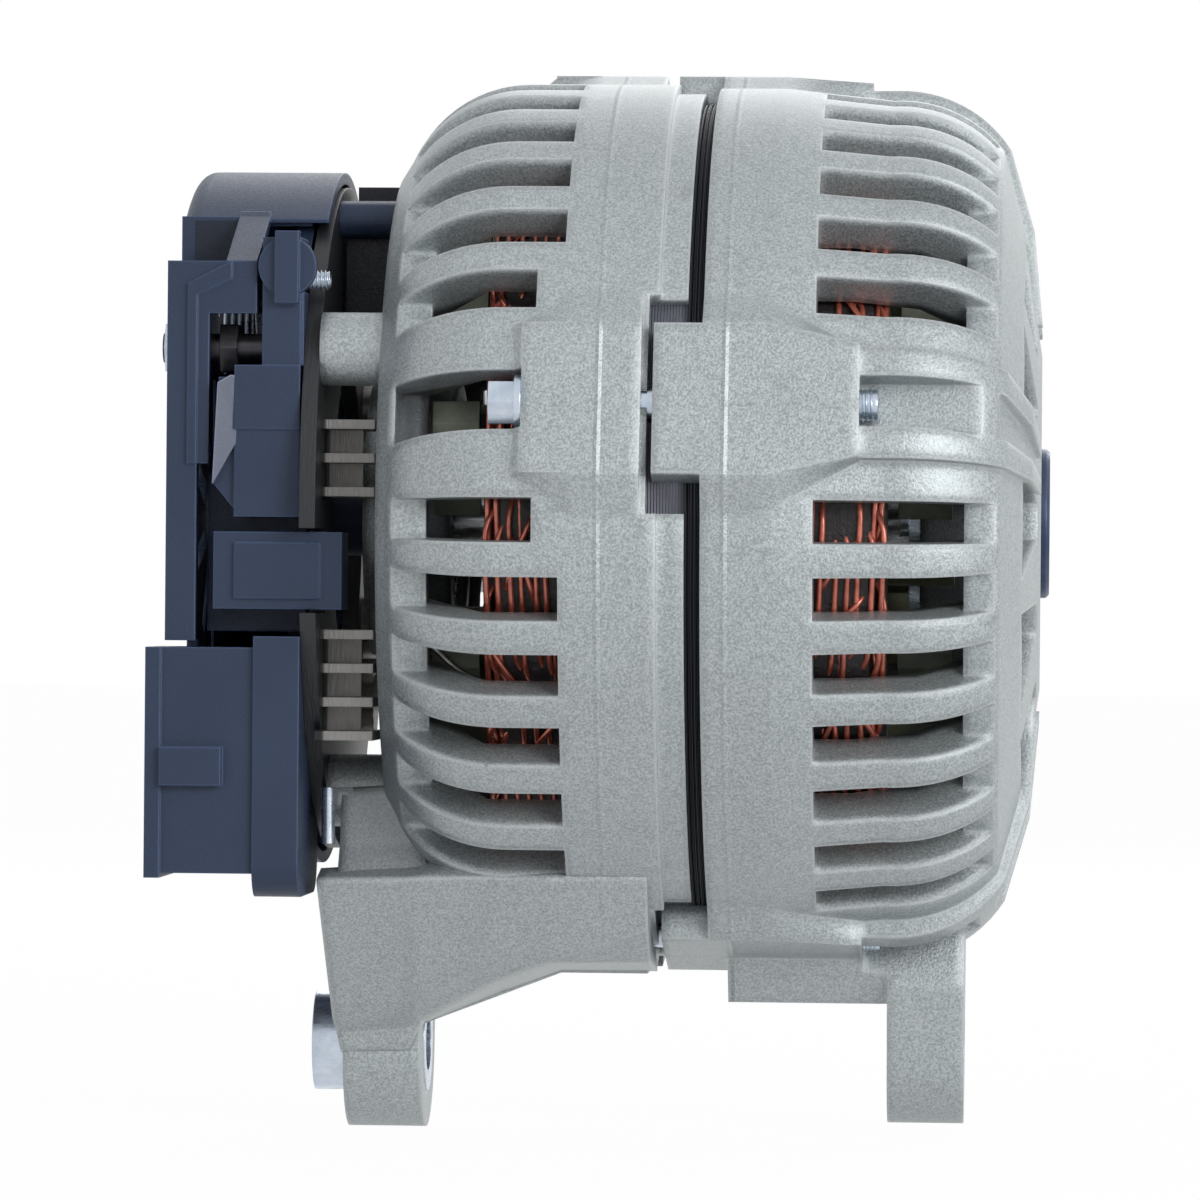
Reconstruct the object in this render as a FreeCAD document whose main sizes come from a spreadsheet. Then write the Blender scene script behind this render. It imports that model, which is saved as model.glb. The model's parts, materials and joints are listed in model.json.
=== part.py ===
import FreeCAD, Part
import math
import os
import re

import Sketcher

# Generator alternator head with claw poles, millimetres.
# X runs along the shaft towards the drive end, Z is up, and the origin is the middle of the
# drive collar's outer face. The clamp lugs stand at lug_angle, measured from -Y up to +Z.

Vector = FreeCAD.Vector
document = FreeCAD.newDocument("GeneratorAlternatorHead")
sheet = document.addObject("Spreadsheet::Sheet", "Sizes")

# Driving dimensions
SIZES = {
    # Stator core and windings
    "core_radius": 72.6, "core_bore": 50.6, "core_front": -40.5, "core_length": 40.0,
    "core_slots": 36, "core_slot_width": 3.6, "core_slot_depth": 14.0, "core_slot_mouth": 2.0,
    "core_tooth_tip": 1.6, "core_groove_width": 0.3, "core_groove_depth": 0.35, "core_groove_pitch": 0.8,
    "winding_inner": 51.6, "winding_outer": 65.5, "winding_front_reach": 13.5, "winding_rear_reach": 13.5,
    "winding_crown": 3.0, "winding_clearance": 0.4,
    # Clamp lugs and through bolts
    "lug_angle": 14.5, "lug_count": 4, "bolt_circle": 73.6, "bolt_radius": 2.5, "bolt_clearance": 0.3,
    "bolt_flange_radius": 4.7, "bolt_flange_height": 1.2, "bolt_hex_flats": 7.0, "bolt_head_height": 4.3,
    "bolt_end": -28.5, "lug_face": 77.4, "lug_half_width": 12.9, "lug_gap_front": -65.5,
    "lug_front_end": -31.5,
    "rear_lug_front": -67.5, "rear_lug_rear": -87.2, "bolt_channel": 8.75,
    # Drive-end housing
    "rim_face": -57.5, "rim_radius": 75.4, "barrel_bend_x": -46.0, "barrel_end": -27.5,
    "barrel_end_radius": 73.4, "shoulder_radius": 64.8, "shoulder_x": -8.4,
    "shoulder_curve": 22.5, "dome_radius": 51.5, "dome_x": -4.9, "nose_radius": 29.0, "nose_x": -1.5,
    "front_wall": 5.0, "rib_inner_rear": 67.2, "rib_inner_middle": 65.0,
    "rib_inner_front": 58.5, "rib_rear_x": -33.0, "rib_middle_x": -22.0, "rib_front_x": -14.0,
    "front_slot_rear": -39.0, "front_slot_front": -14.2, "slot_angle": 5.6, "slot_start": 15.2,
    "slots_between_lugs": 7, "rib_foot_radius": 65.6, "front_window_inner": 33.0, "front_window_outer": 49.0,
    "front_window_width": 10.0, "front_windows": 12, "hub_rear": -22.0, "hub_lip_bore": 14.0,
    "ridge_rise": 1.2, "ridge_half_angle": 7.2, "ridge_nose_x": -9.4, "ridge_end_radius": 35.0,
    "dome_ridge_rise": 1.9, "valley_half_angle": 3.3, "pad_half_width": 21.0, "pad_depth": 4.0,
    "pad_tip_half_width": 9.6, "pad_bend_x": -47.0, "seat_clearance": 0.05,
    # Rear housing
    "band_front": -60.2, "band_radius": 74.4, "band_end": -64.8, "rear_barrel_radius": 76.0,
    "rear_bend_x": -90.5, "rear_bend_curve": 22.0, "rear_corner_x": -110.5, "rear_corner_radius": 63.2,
    "rear_face": -112.5, "rear_face_radius": 60.0, "rear_wall": 3.6, "rear_rib_inner": 69.5,
    "rear_rib_inner_end": 60.5, "rear_rib_bend_x": -94.0, "rear_slot_rear": -103.5, "rear_slot_front": -80.9,
    "rear_short_slot_front": -85.3, "rear_pad_half_width": 22.0, "rear_pad_tip_half_width": 14.0,
    "rear_pad_bend_x": -79.0, "rear_pad_tip_x": -92.0,
    "rear_hub_radius": 24.0, "rear_hub_rear": -118.0, "rear_hub_front": -103.0, "rear_window_inner": 28.0,
    "rear_window_outer": 52.0, "rear_window_width": 15.0, "rear_windows": 8, "head_window_rear": -109.0,
    "head_window_width": 10.2, "head_window_floor": 68.6, "band_notch_half_angle": 14.3,
    "post_radius": 6.2, "post_y": 46.0, "post_z": 28.0, "low_post_y": 27.0, "low_post_z": 47.0,
    "post_bore_gap": 0.1, "stud_depth": 7.0,
    # Feet
    "foot_drop": 91.5, "front_foot_radius": 13.2, "rear_foot_radius": 14.9, "foot_bore": 5.25,
    "front_foot_rear": -27.3,
    "front_foot_front": -14.1, "front_shelf_rear": -54.8, "front_shelf_bottom": 83.4,
    "shelf_half_width": 12.0,
    "rear_foot_rear": -121.5, "rear_foot_front": -108.0, "rear_web_front": -69.0, "rear_web_low": 88.0,
    "rear_web_high": 78.8, "rear_web_bend_x": -84.0, "web_half_width": 9.0, "foot_root_half_width": 20.0,
    "foot_root_drop": 62.0, "foot_flare": 12.0, "bush_radius": 8.65, "bush_rear": -127.5,
    "bush_front": -107.8,
    "bush_clearance": 0.05,
    # Shaft, collar and bearings
    "shaft_radius": 8.5, "shaft_middle_radius": 9.5, "collar_radius": 13.0, "collar_rear": -5.2,
    "collar_edge": 0.6,
    "shaft_thread_radius": 5.1, "shaft_thread_depth": 25.0, "front_bearing_front": -5.5,
    "front_bearing_width": 14.0, "front_bearing_radius": 23.5, "rear_bearing_front": -104.5,
    "rear_bearing_width": 12.0, "rear_bearing_radius": 20.0, "ball_radius": 4.2,
    "rear_ball_radius": 3.4, "ball_count": 8, "ball_clearance": 0.05, "bearing_fit": 0.02, "cage_play": 0.1,
    "groove_depth": 1.4, "cage_thickness": 1.4, "cage_rim": 0.9, "seal_thickness": 1.0, "seal_inset": 0.4,
    "seal_gap": 0.35, "retainer_thickness": 2.0, "retainer_radius": 28.0, "retainer_bore": 13.5,
    "retainer_screw_circle": 25.8, "retainer_screws": 4, "small_screw_radius": 1.5, "small_head_radius": 2.8,
    "small_head_height": 1.6, "screw_bite": 6.0,
    # Claw poles, coil and fans
    "pole_radius": 50.2, "pole_front": -31.5, "pole_rear": -89.5, "pole_disc": 13.0, "pole_count": 6,
    "claw_root_half_angle": 14.2, "claw_tip_half_angle": 5.6, "claw_root_inner": 39.0, "claw_tip_inner": 46.6,
    "claw_tip_gap": 3.0, "pole_core_radius": 25.0, "pole_hub_radius": 32.0, "bobbin_wall": 1.2,
    "bobbin_gap": 0.3, "coil_outer": 36.5, "fan_sheet": 1.5, "fan_outer": 49.5, "fan_root": 35.0,
    "front_fan_reach": 15.5, "rear_fan_reach": 15.0, "front_blades": 10, "rear_blades": 9,
    "fan_bore": 16.0, "blade_curve": 19.0, "blade_sweep": 9.0,
    # Slip rings and brushes
    "rear_stub_radius": 5.0, "ring_body_radius": 6.6, "ring_radius": 8.0, "ring_width": 5.4,
    "inner_ring_x": -129.8, "outer_ring_x": -138.2, "ring_body_end": -143.6, "ring_body_start": -118.6,
    "brush_width": 4.6, "brush_height": 6.0, "brush_length": 16.0, "brush_gap": 0.15, "brush_play": 0.2,
    "spring_radius": 1.8, "spring_wire": 0.3, "spring_turns": 5, "spring_seat": 0.05,
    "holder_inner": 11.5, "holder_outer": 40.0, "holder_wall": 2.0, "holder_half_height": 7.0,
    "holder_rear": -142.8, "holder_front": -125.9, "regulator_drop": 19.8, "regulator_inner": 22.0,
    "cap_rear": -140.5, "cap_front": -118.8, "cap_top": 3.0, "cap_bottom": 16.0, "cap_wall": 1.8,
    "cap_near_y": 52.0, "cap_far_y": 40.4, "cap_panel": 0.8, "cap_gap": 0.6,
    # Rectifier and connection parts on the rear face
    "sink_front": -122.8, "sink_rear": -125.5, "sink_inner": 26.5, "sink_outer": 57.8,
    "fin_front": -113.8, "fin_web_y": 38.0, "fin_web_front": -116.4, "fin_thickness": 1.6, "fin_pitch": 5.7,
    "fin_top": 15.3, "fin_lower_drop": 35.5,
    "fin_inner_y": 30.0, "fin_outer_y": 47.0, "diode_radius": 5.6, "diode_height": 6.4,
    "diode_lead_radius": 0.7, "diode_circle": 36.5, "diode_step": 32.0, "diode_lead": 0.8,
    "minus_diode_start": -64.0, "plus_diode_start": -48.0, "plus_diode_circle": 47.5,
    "plus_front": -133.0, "plus_rear": -135.4, "plus_inner": 29.0, "plus_outer": 57.0, "plus_edge_y": 4.0,
    "carrier_front": -126.2, "carrier_rear": -129.2, "carrier_arm_z": 34.0, "spacer_radius": 4.0,
    "tower_near_y": 53.0, "tower_far_y": 41.5, "tower_rear": -137.0, "tower_front": -125.9,
    "tower_bottom": -0.5, "tower_step": 25.0, "tower_neck_x": -132.4, "tower_shoulder": 37.4,
    "tower_top": 46.5,
    "tower_wedge_rear": -140.8, "tower_wedge_low": 5.3, "disc_radius": 4.9, "disc_reach": 1.2,
    "strap_width": 4.0,
    "stud_bolt_radius": 2.5, "stud_bolt_rear": -149.8,
    "stud_nut_flats": 8.0, "stud_nut_thickness": 3.0, "battery_y": 16.0, "battery_z": 36.0,
    "battery_radius": 4.0, "battery_relief": 0.3, "battery_end": -147.6, "battery_head_radius": 6.0,
    "battery_head_height": 3.0,
    "battery_nut_flats": 13.0, "battery_nut_height": 5.0, "terminal_rear": -122.2, "terminal_foot": 34.0,
    "terminal_low": 50.6, "terminal_middle": 54.6, "terminal_high": 57.4, "terminal_step": 1.8,
    "terminal_half_width": 14.0, "terminal_base": 2.5,
    # Plug socket
    "flange_rear": -133.3, "flange_top": 20.6, "flange_bottom": 64.5, "flange_near_y": 55.0,
    "flange_far_y": 22.0, "flange_corner": 6.0, "socket_rear": -151.5, "socket_top": 22.5,
    "socket_bottom": 60.5, "socket_near_y": 54.0, "socket_far_y": 33.0, "socket_wall": 1.8,
    "socket_floor": 2.0, "rim_band_width": 2.6, "rim_band_height": 0.8, "pin_radius": 0.8,
    "pin_reach": 11.0, "pin_pitch": 8.0, "pin_count": 4, "latch_length": 13.0, "latch_width": 6.4,
    "latch_height": 2.2, "latch_middle": 42.5,
    # Rear cover
    "cover_rear": -148.5, "cover_front": -126.4, "cover_wall": 2.0, "cover_radius": 60.4, "cover_edge": 3.0,
    "cover_top_front": -123.4, "cover_bottom": 21.4, "cover_window_inner": 12.0, "cover_window_outer": 24.0,
    "cover_window_width": 4.2, "cover_windows": 10, "cover_eye": 7.0, "cover_side_x": -141.4,
    "cover_side_top": 50.0, "cover_cut_y": 31.0, "cover_side_y": 52.6, "cover_side_wall": 1.6,
    "cover_ledge": 42.5,
    "cover_panel_y": 33.0, "cover_panel_x": -137.6, "cover_step": 8.4, "cover_low_x": -143.4,
    "cover_ridge_width": 1.6, "cover_ridge_height": 0.7, "strut_front": -133.4, "strut_low": 33.7,
    "cover_recess": 2.2, "cover_boss_radius": 7.2,
    "cover_boss_wall": 1.4, "battery_opening": 10.5,
}
for row, (alias, size) in enumerate(SIZES.items(), start=1):
    sheet.set(f"A{row}", alias)
    sheet.set(f"B{row}", str(size))
    sheet.setAlias(f"B{row}", alias)
document.recompute()

WORD = re.compile(r"[a-z][a-z_0-9]*")


def bound(text):
    """An expression in which each size's name points at its cell of the sheet."""
    return WORD.sub(lambda word: "Sizes." + word.group() if word.group() in SIZES else word.group(), text)


def value(text):
    return float(sheet.evalExpression(bound(text)))


# Places that several pieces share
CORE_REAR = "(core_front - core_length)"
LUG_Y = "(-cos(lug_angle))"
LUG_Z = "(sin(lug_angle))"
FRONT_BEARING_REAR = "(front_bearing_front - front_bearing_width)"
REAR_BEARING_REAR = "(rear_bearing_front - rear_bearing_width)"
POLE_MIDDLE = "((pole_front + pole_rear) / 2)"
SLOT_PITCH = "((360 / lug_count - 2 * slot_start) / (slots_between_lugs - 1))"

POSTS = {"near": ("-post_y", "post_z"), "far_upper": ("post_y", "post_z"), "far_lower": ("post_y", "-post_z"),
         "low": ("-low_post_y", "-low_post_z")}


# Helpers for bodies, sketches and features
def new_body(label):
    body = document.addObject("PartDesign::Body", label)
    body.Label = label
    return body


def origin_feature(body, role):
    return next(feature for feature in body.Origin.OriginFeatures if feature.Role == role)


def draw_circle(sketch, shape):
    across, up, radius = shape
    circle = Part.Circle(Vector(value(across), value(up), 0), Vector(0, 0, 1), value(radius))
    edge = sketch.addGeometry(circle)
    for kind, text in (("DistanceX", across), ("DistanceY", up)):
        index = sketch.addConstraint(Sketcher.Constraint(kind, -1, 1, edge, 3, value(text)))
        sketch.setExpression(f"Constraints[{index}]", bound(text))
    index = sketch.addConstraint(Sketcher.Constraint("Radius", edge, value(radius)))
    sketch.setExpression(f"Constraints[{index}]", bound(radius))


def draw_outline(sketch, corners):
    """A closed outline of corners (across, up) or (across, up, radius of the arc to the next corner).
    A minus sign before the radius turns the arc clockwise."""
    points = [Vector(value(corner[0]), value(corner[1]), 0) for corner in corners]
    edges = []
    for index, corner in enumerate(corners):
        start, end = points[index], points[(index + 1) % len(points)]
        if len(corner) == 2:
            edges.append((sketch.addGeometry(Part.LineSegment(start, end)), 1, 2))
            continue
        clockwise = corner[2].startswith("-")
        radius = value(corner[2].lstrip("-"))
        chord = end - start
        rise = math.sqrt(max(radius ** 2 - (chord.Length / 2) ** 2, 0))
        aside = Vector(-chord.y, chord.x, 0).normalize() * (-rise if clockwise else rise)
        centre = (start + end) / 2 + aside
        first, last = (end, start) if clockwise else (start, end)
        angles = [math.atan2(point.y - centre.y, point.x - centre.x) for point in (first, last)]
        arc = Part.ArcOfCircle(Part.Circle(centre, Vector(0, 0, 1), radius), angles[0], angles[1])
        edge = sketch.addGeometry(arc)
        edges.append((edge, 2, 1) if clockwise else (edge, 1, 2))
    for index, (edge, start, end) in enumerate(edges):
        following = edges[(index + 1) % len(edges)]
        sketch.addConstraint(Sketcher.Constraint("Coincident", edge, end, following[0], following[1]))
    driven = []
    for (edge, start, _), corner, point in zip(edges, corners, points):
        driven.append((sketch.addConstraint(Sketcher.Constraint("DistanceX", -1, 1, edge, start, point.x)),
                       corner[0]))
        driven.append((sketch.addConstraint(Sketcher.Constraint("DistanceY", -1, 1, edge, start, point.y)),
                       corner[1]))
        if len(corner) == 3:
            radius = corner[2].lstrip("-")
            driven.append((sketch.addConstraint(Sketcher.Constraint("Radius", edge, value(radius))), radius))
    for index, text in driven:
        sketch.setExpression(f"Constraints[{index}]", bound(text))


def new_sketch(body, name, plane, outlines=(), circles=(), turn="0", shift="0"):
    """A sketch on an origin plane, turned about X by an angle and shifted along the plane's normal."""
    sketch = body.newObject("Sketcher::SketchObject", name)
    sketch.AttachmentSupport = (origin_feature(body, plane), [""])
    sketch.MapMode = "FlatFace"
    offset = FreeCAD.Placement(Vector(0, 0, value(shift)), FreeCAD.Rotation(Vector(1, 0, 0), value(turn)))
    sketch.AttachmentOffset = offset
    if turn != "0":
        sketch.setExpression("AttachmentOffset.Rotation.Angle", bound(turn))
    if shift != "0":
        sketch.setExpression("AttachmentOffset.Base.z", bound(shift))
    for corners in outlines:
        draw_outline(sketch, corners)
    for shape in circles:
        draw_circle(sketch, shape)
    return sketch


def rectangle(left, low, right, high):
    return [(left, low), (right, low), (right, high), (left, high)]


def turned(body, name, corners, cut=False, angle="360", turn="0"):
    """A profile in X and radius, turned about the shaft's axis, evenly to both sides of its plane."""
    sketch = new_sketch(body, name + "_profile", "XZ_Plane", [corners], turn=turn)
    feature = body.newObject("PartDesign::Groove" if cut else "PartDesign::Revolution", name)
    feature.Profile = sketch
    feature.ReferenceAxis = (sketch, ["H_Axis"])
    feature.Refine = False
    feature.Midplane = angle != "360"
    feature.Angle = value(angle)
    if angle != "360":
        feature.setExpression("Angle", bound(angle))
    return feature


def along(body, name, start, end, outlines=(), circles=(), cut=False):
    """An outline in Y and Z, padded or cut along X from start to end, with end the greater."""
    sketch = new_sketch(body, name + "_outline", "YZ_Plane", outlines, circles, shift=start)
    feature = body.newObject("PartDesign::Pocket" if cut else "PartDesign::Pad", name)
    feature.Profile = sketch
    feature.Reversed = cut
    feature.Length = value(f"{end} - ({start})")
    feature.setExpression("Length", bound(f"{end} - ({start})"))
    return feature



def sideways(body, name, near, far, outlines=(), circles=(), cut=False):
    """An outline in X and Z, padded or cut between two distances from the shaft towards -Y."""
    sketch = new_sketch(body, name + "_outline", "XZ_Plane", outlines, circles, shift=far)
    feature = body.newObject("PartDesign::Pocket" if cut else "PartDesign::Pad", name)
    feature.Profile = sketch
    feature.Reversed = cut
    feature.Length = value(f"{near} - ({far})")
    feature.setExpression("Length", bound(f"{near} - ({far})"))
    return feature


def radial_cut(body, name, corners, turn, floor="0"):
    """An outline in X and the width across, cut outwards from a distance to the shaft's axis."""
    sketch = new_sketch(body, name + "_outline", "XY_Plane", [corners], turn=turn)
    if floor != "0":
        for axis, text in (("y", f"-({floor}) * sin({turn})"), ("z", f"({floor}) * cos({turn})")):
            setattr(sketch.AttachmentOffset.Base, axis, value(text))
            sketch.setExpression(f"AttachmentOffset.Base.{axis}", bound(text))
    feature = body.newObject("PartDesign::Pocket", name)
    feature.Profile = sketch
    feature.Type = "ThroughAll"
    feature.Reversed = True
    return feature


def ring_of(body, name, features, count):
    pattern = body.newObject("PartDesign::PolarPattern", name)
    pattern.Refine = False
    pattern.Originals = features
    pattern.Axis = (origin_feature(body, "X_Axis"), [""])
    pattern.Angle = 360
    pattern.Occurrences = int(round(value(count)))
    pattern.setExpression("Occurrences", bound(count))
    body.Tip = pattern
    return pattern


def air_slot(body, name, start, end, foot_end, turn):
    """A slot between two ribs, turned from a lug. Its end is a wall up to the foot of the ribs, where the
    ground between them lies below their backs as far as foot_end."""
    return turned(body, name, [
        (start, "pole_radius"), (end, "pole_radius"), (end, "rib_foot_radius"), (foot_end, "rib_foot_radius"),
        (foot_end, "lug_face + 3"), (start, "lug_face + 3")], cut=True, angle="slot_angle",
        turn=f"90 - lug_angle + {turn}")


def sketch_off_axis(body, name, corners, turn, distance):
    """An outline in X and the width across, in a plane at a distance to the shaft's axis."""
    sketch = new_sketch(body, name, "XY_Plane", [corners], turn=turn)
    for axis, text in (("y", f"-({distance}) * sin({turn})"), ("z", f"({distance}) * cos({turn})")):
        setattr(sketch.AttachmentOffset.Base, axis, value(text))
        sketch.setExpression(f"AttachmentOffset.Base.{axis}", bound(text))
    return sketch


def sloping_pad(body, name, foot, top, turn, foot_distance, top_distance):
    """A raised pad with sloping sides, between an outline at its foot and a smaller one on top."""
    feature = body.newObject("PartDesign::AdditiveLoft", name)
    feature.Profile = sketch_off_axis(body, name + "_foot", foot, turn, foot_distance)
    feature.Sections = [sketch_off_axis(body, name + "_top", top, turn, top_distance)]
    feature.Ruled = True
    feature.Refine = False
    return feature


def mirrored(half):
    """Corners at X and half width, followed by the same corners on the other side."""
    return [(x, f"-({width})") for x, width in half] + list(reversed(half))


def radial_pad(body, name, corners, turn, floor, top):
    """An outline in X and the width across, built up between two distances to the shaft's axis."""
    feature = body.newObject("PartDesign::Pad", name)
    feature.Profile = sketch_off_axis(body, name + "_outline", corners, turn, floor)
    feature.Length = value(f"{top} - ({floor})")
    feature.setExpression("Length", bound(f"{top} - ({floor})"))
    return feature


def rows_between_lugs(body, name, feature, count):
    """Repeats a feature at each slot between two lugs, and that row once for each lug."""
    rows = body.newObject("PartDesign::MultiTransform", name)
    rows.Refine = False
    rows.Originals = [feature]
    row = body.newObject("PartDesign::PolarPattern", name + "_row")
    row.Axis = (origin_feature(body, "X_Axis"), [""])
    row.Mode = "Spacing"
    row.Offset = value(SLOT_PITCH)
    row.setExpression("Offset", bound(SLOT_PITCH))
    row.Occurrences = int(round(value(count)))
    row.setExpression("Occurrences", bound(count))
    quarters = body.newObject("PartDesign::PolarPattern", name + "_quarters")
    quarters.Axis = (origin_feature(body, "X_Axis"), [""])
    quarters.Angle = 360
    quarters.Occurrences = int(round(value("lug_count")))
    quarters.setExpression("Occurrences", bound("lug_count"))
    rows.Transformations = [row, quarters]
    body.Tip = rows
    return rows


def bolt_hole_circle(radius):
    return (f"bolt_circle * {LUG_Y}", f"bolt_circle * {LUG_Z}", radius)


def foot_outline(root, end_radius):
    """A lug that hangs from the barrel, with its round end about the foot's axis and its root on the barrel."""
    side = f"{end_radius} * cos(foot_flare)"
    low = f"-foot_drop - {end_radius} * sin(foot_flare)"
    top = f"-sqrt(({root})^2 - foot_root_half_width^2)"
    return [(f"-{side}", low, end_radius), (side, low),
            ("foot_root_half_width", top, f"-{root}"), ("-foot_root_half_width", top)]


# Drive-end housing
def drive_end_housing():
    body = new_body("drive_end_housing")
    seat = "core_radius + seat_clearance"
    lug_turn = "90 - lug_angle"
    turned(body, "shell", [
        ("rim_face", seat), ("core_front", seat), ("core_front", "rib_inner_rear"),
        ("rib_rear_x", "rib_inner_rear"), ("rib_middle_x", "rib_inner_middle"),
        ("rib_front_x", "rib_inner_front"), ("dome_x - front_wall", "dome_radius - 2"),
        ("nose_x - front_wall", "nose_radius - 2"), ("nose_x", "nose_radius - 2"),
        ("nose_x", "nose_radius"), ("dome_x", "dome_radius"),
        ("shoulder_x", "shoulder_radius", "shoulder_curve"), ("barrel_end", "barrel_end_radius"),
        ("barrel_bend_x", "rim_radius"), ("rim_face", "rim_radius")])
    slot = air_slot(body, "air_slot", "front_slot_rear", "front_slot_front", "shoulder_x + 1", "slot_start")
    rows_between_lugs(body, "air_slots", slot, "slots_between_lugs")
    window = along(body, "front_window", "shoulder_x - 2 * front_wall", "nose_x + 1", [[
        ("-front_window_width * 0.3", "front_window_inner"), ("front_window_width * 0.3",
        "front_window_inner"),
        ("front_window_width", "front_window_outer"), ("-front_window_width", "front_window_outer")]],
        cut=True)
    ring_of(body, "front_windows", [window], "front_windows")
    lug = radial_pad(body, "lug", rectangle("lug_gap_front", "-lug_half_width", "pad_bend_x",
        "lug_half_width"),
                     lug_turn, "core_radius - pad_depth", "lug_face")
    pad = sloping_pad(body, "lug_pad",
                      mirrored([("rim_face", "pad_half_width"), ("pad_bend_x", "pad_half_width"),
                                ("lug_front_end", "pad_tip_half_width")]),
                      mirrored([("rim_face", "lug_half_width"), ("pad_bend_x", "lug_half_width"),
                                ("lug_front_end", "pad_tip_half_width")]),
                      lug_turn, "rim_radius - pad_depth", "lug_face")
    ridge = turned(body, "lug_ridge", [
        ("lug_front_end - 1", "rim_radius - 6"), ("shoulder_x", "shoulder_radius - 6"),
        ("nose_x - 3", "ridge_end_radius"), ("nose_x", "ridge_end_radius"),
        ("dome_x + dome_ridge_rise", "dome_radius"),
        ("shoulder_x + ridge_rise", "shoulder_radius + ridge_rise", "shoulder_curve"),
        ("barrel_end", "rim_radius + ridge_rise"), ("lug_front_end - 1", "rim_radius + ridge_rise")],
        angle="2 * ridge_half_angle", turn=lug_turn)
    ring_of(body, "lugs", [lug, pad, ridge], "lug_count")
    valley = turned(body, "ridge_valley", [
        ("shoulder_x", "shoulder_radius"), ("dome_x", "dome_radius"), ("nose_x", "nose_radius"),
        ("nose_x + 1", "nose_radius"), ("nose_x + 1", "shoulder_radius + 4"),
        ("shoulder_x", "shoulder_radius + 4")], cut=True, angle="2 * valley_half_angle", turn=lug_turn)
    ring_of(body, "ridge_valleys", [valley], "lug_count")
    turned(body, "core_seat", rectangle("lug_gap_front - 1", "core_bore", "core_front", seat), cut=True)
    along(body, "front_foot", "front_foot_rear", "front_foot_front", [
        foot_outline("shoulder_radius + 1", "front_foot_radius")])
    along(body, "front_shelf", "front_shelf_rear", "front_foot_rear + 1", [[
        ("-shelf_half_width", "-front_shelf_bottom"), ("shelf_half_width", "-front_shelf_bottom"),
        ("foot_root_half_width", "-sqrt((core_radius + 1)^2 - foot_root_half_width^2)", "-core_radius + 1"),
        ("-foot_root_half_width", "-sqrt((core_radius + 1)^2 - foot_root_half_width^2)")]])
    channel = radial_cut(body, "bolt_channel_cut", rectangle(
        "lug_front_end", "-bolt_channel / 2", "ridge_nose_x", "bolt_channel / 2"), lug_turn,
        floor="bolt_circle - bolt_radius - bolt_clearance")
    ring_of(body, "bolt_channels", [channel], "lug_count")
    turned(body, "hub", [
        ("hub_rear", "front_bearing_radius + seat_clearance"),
        ("front_bearing_front", "front_bearing_radius + seat_clearance"),
        ("front_bearing_front", "hub_lip_bore"), ("nose_x", "hub_lip_bore"),
        ("nose_x", "nose_radius"), ("hub_rear", "nose_radius")])
    screw = along(body, "retainer_screw_hole", "hub_rear - 1", "hub_rear + screw_bite + 0.5",
                  circles=[("0", "retainer_screw_circle", "small_screw_radius + 0.05")], cut=True)
    ring_of(body, "retainer_screw_holes", [screw], "retainer_screws")
    bolt = along(body, "bolt_hole", "lug_gap_front - 1", "lug_front_end + 1",
                 circles=[bolt_hole_circle("bolt_radius + bolt_clearance")], cut=True)
    ring_of(body, "bolt_holes", [bolt], "lug_count")
    along(body, "front_foot_bore", "front_foot_rear - 1", "front_foot_front + 1",
          circles=[("0", "-foot_drop", "foot_bore")], cut=True)
    return body


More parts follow.
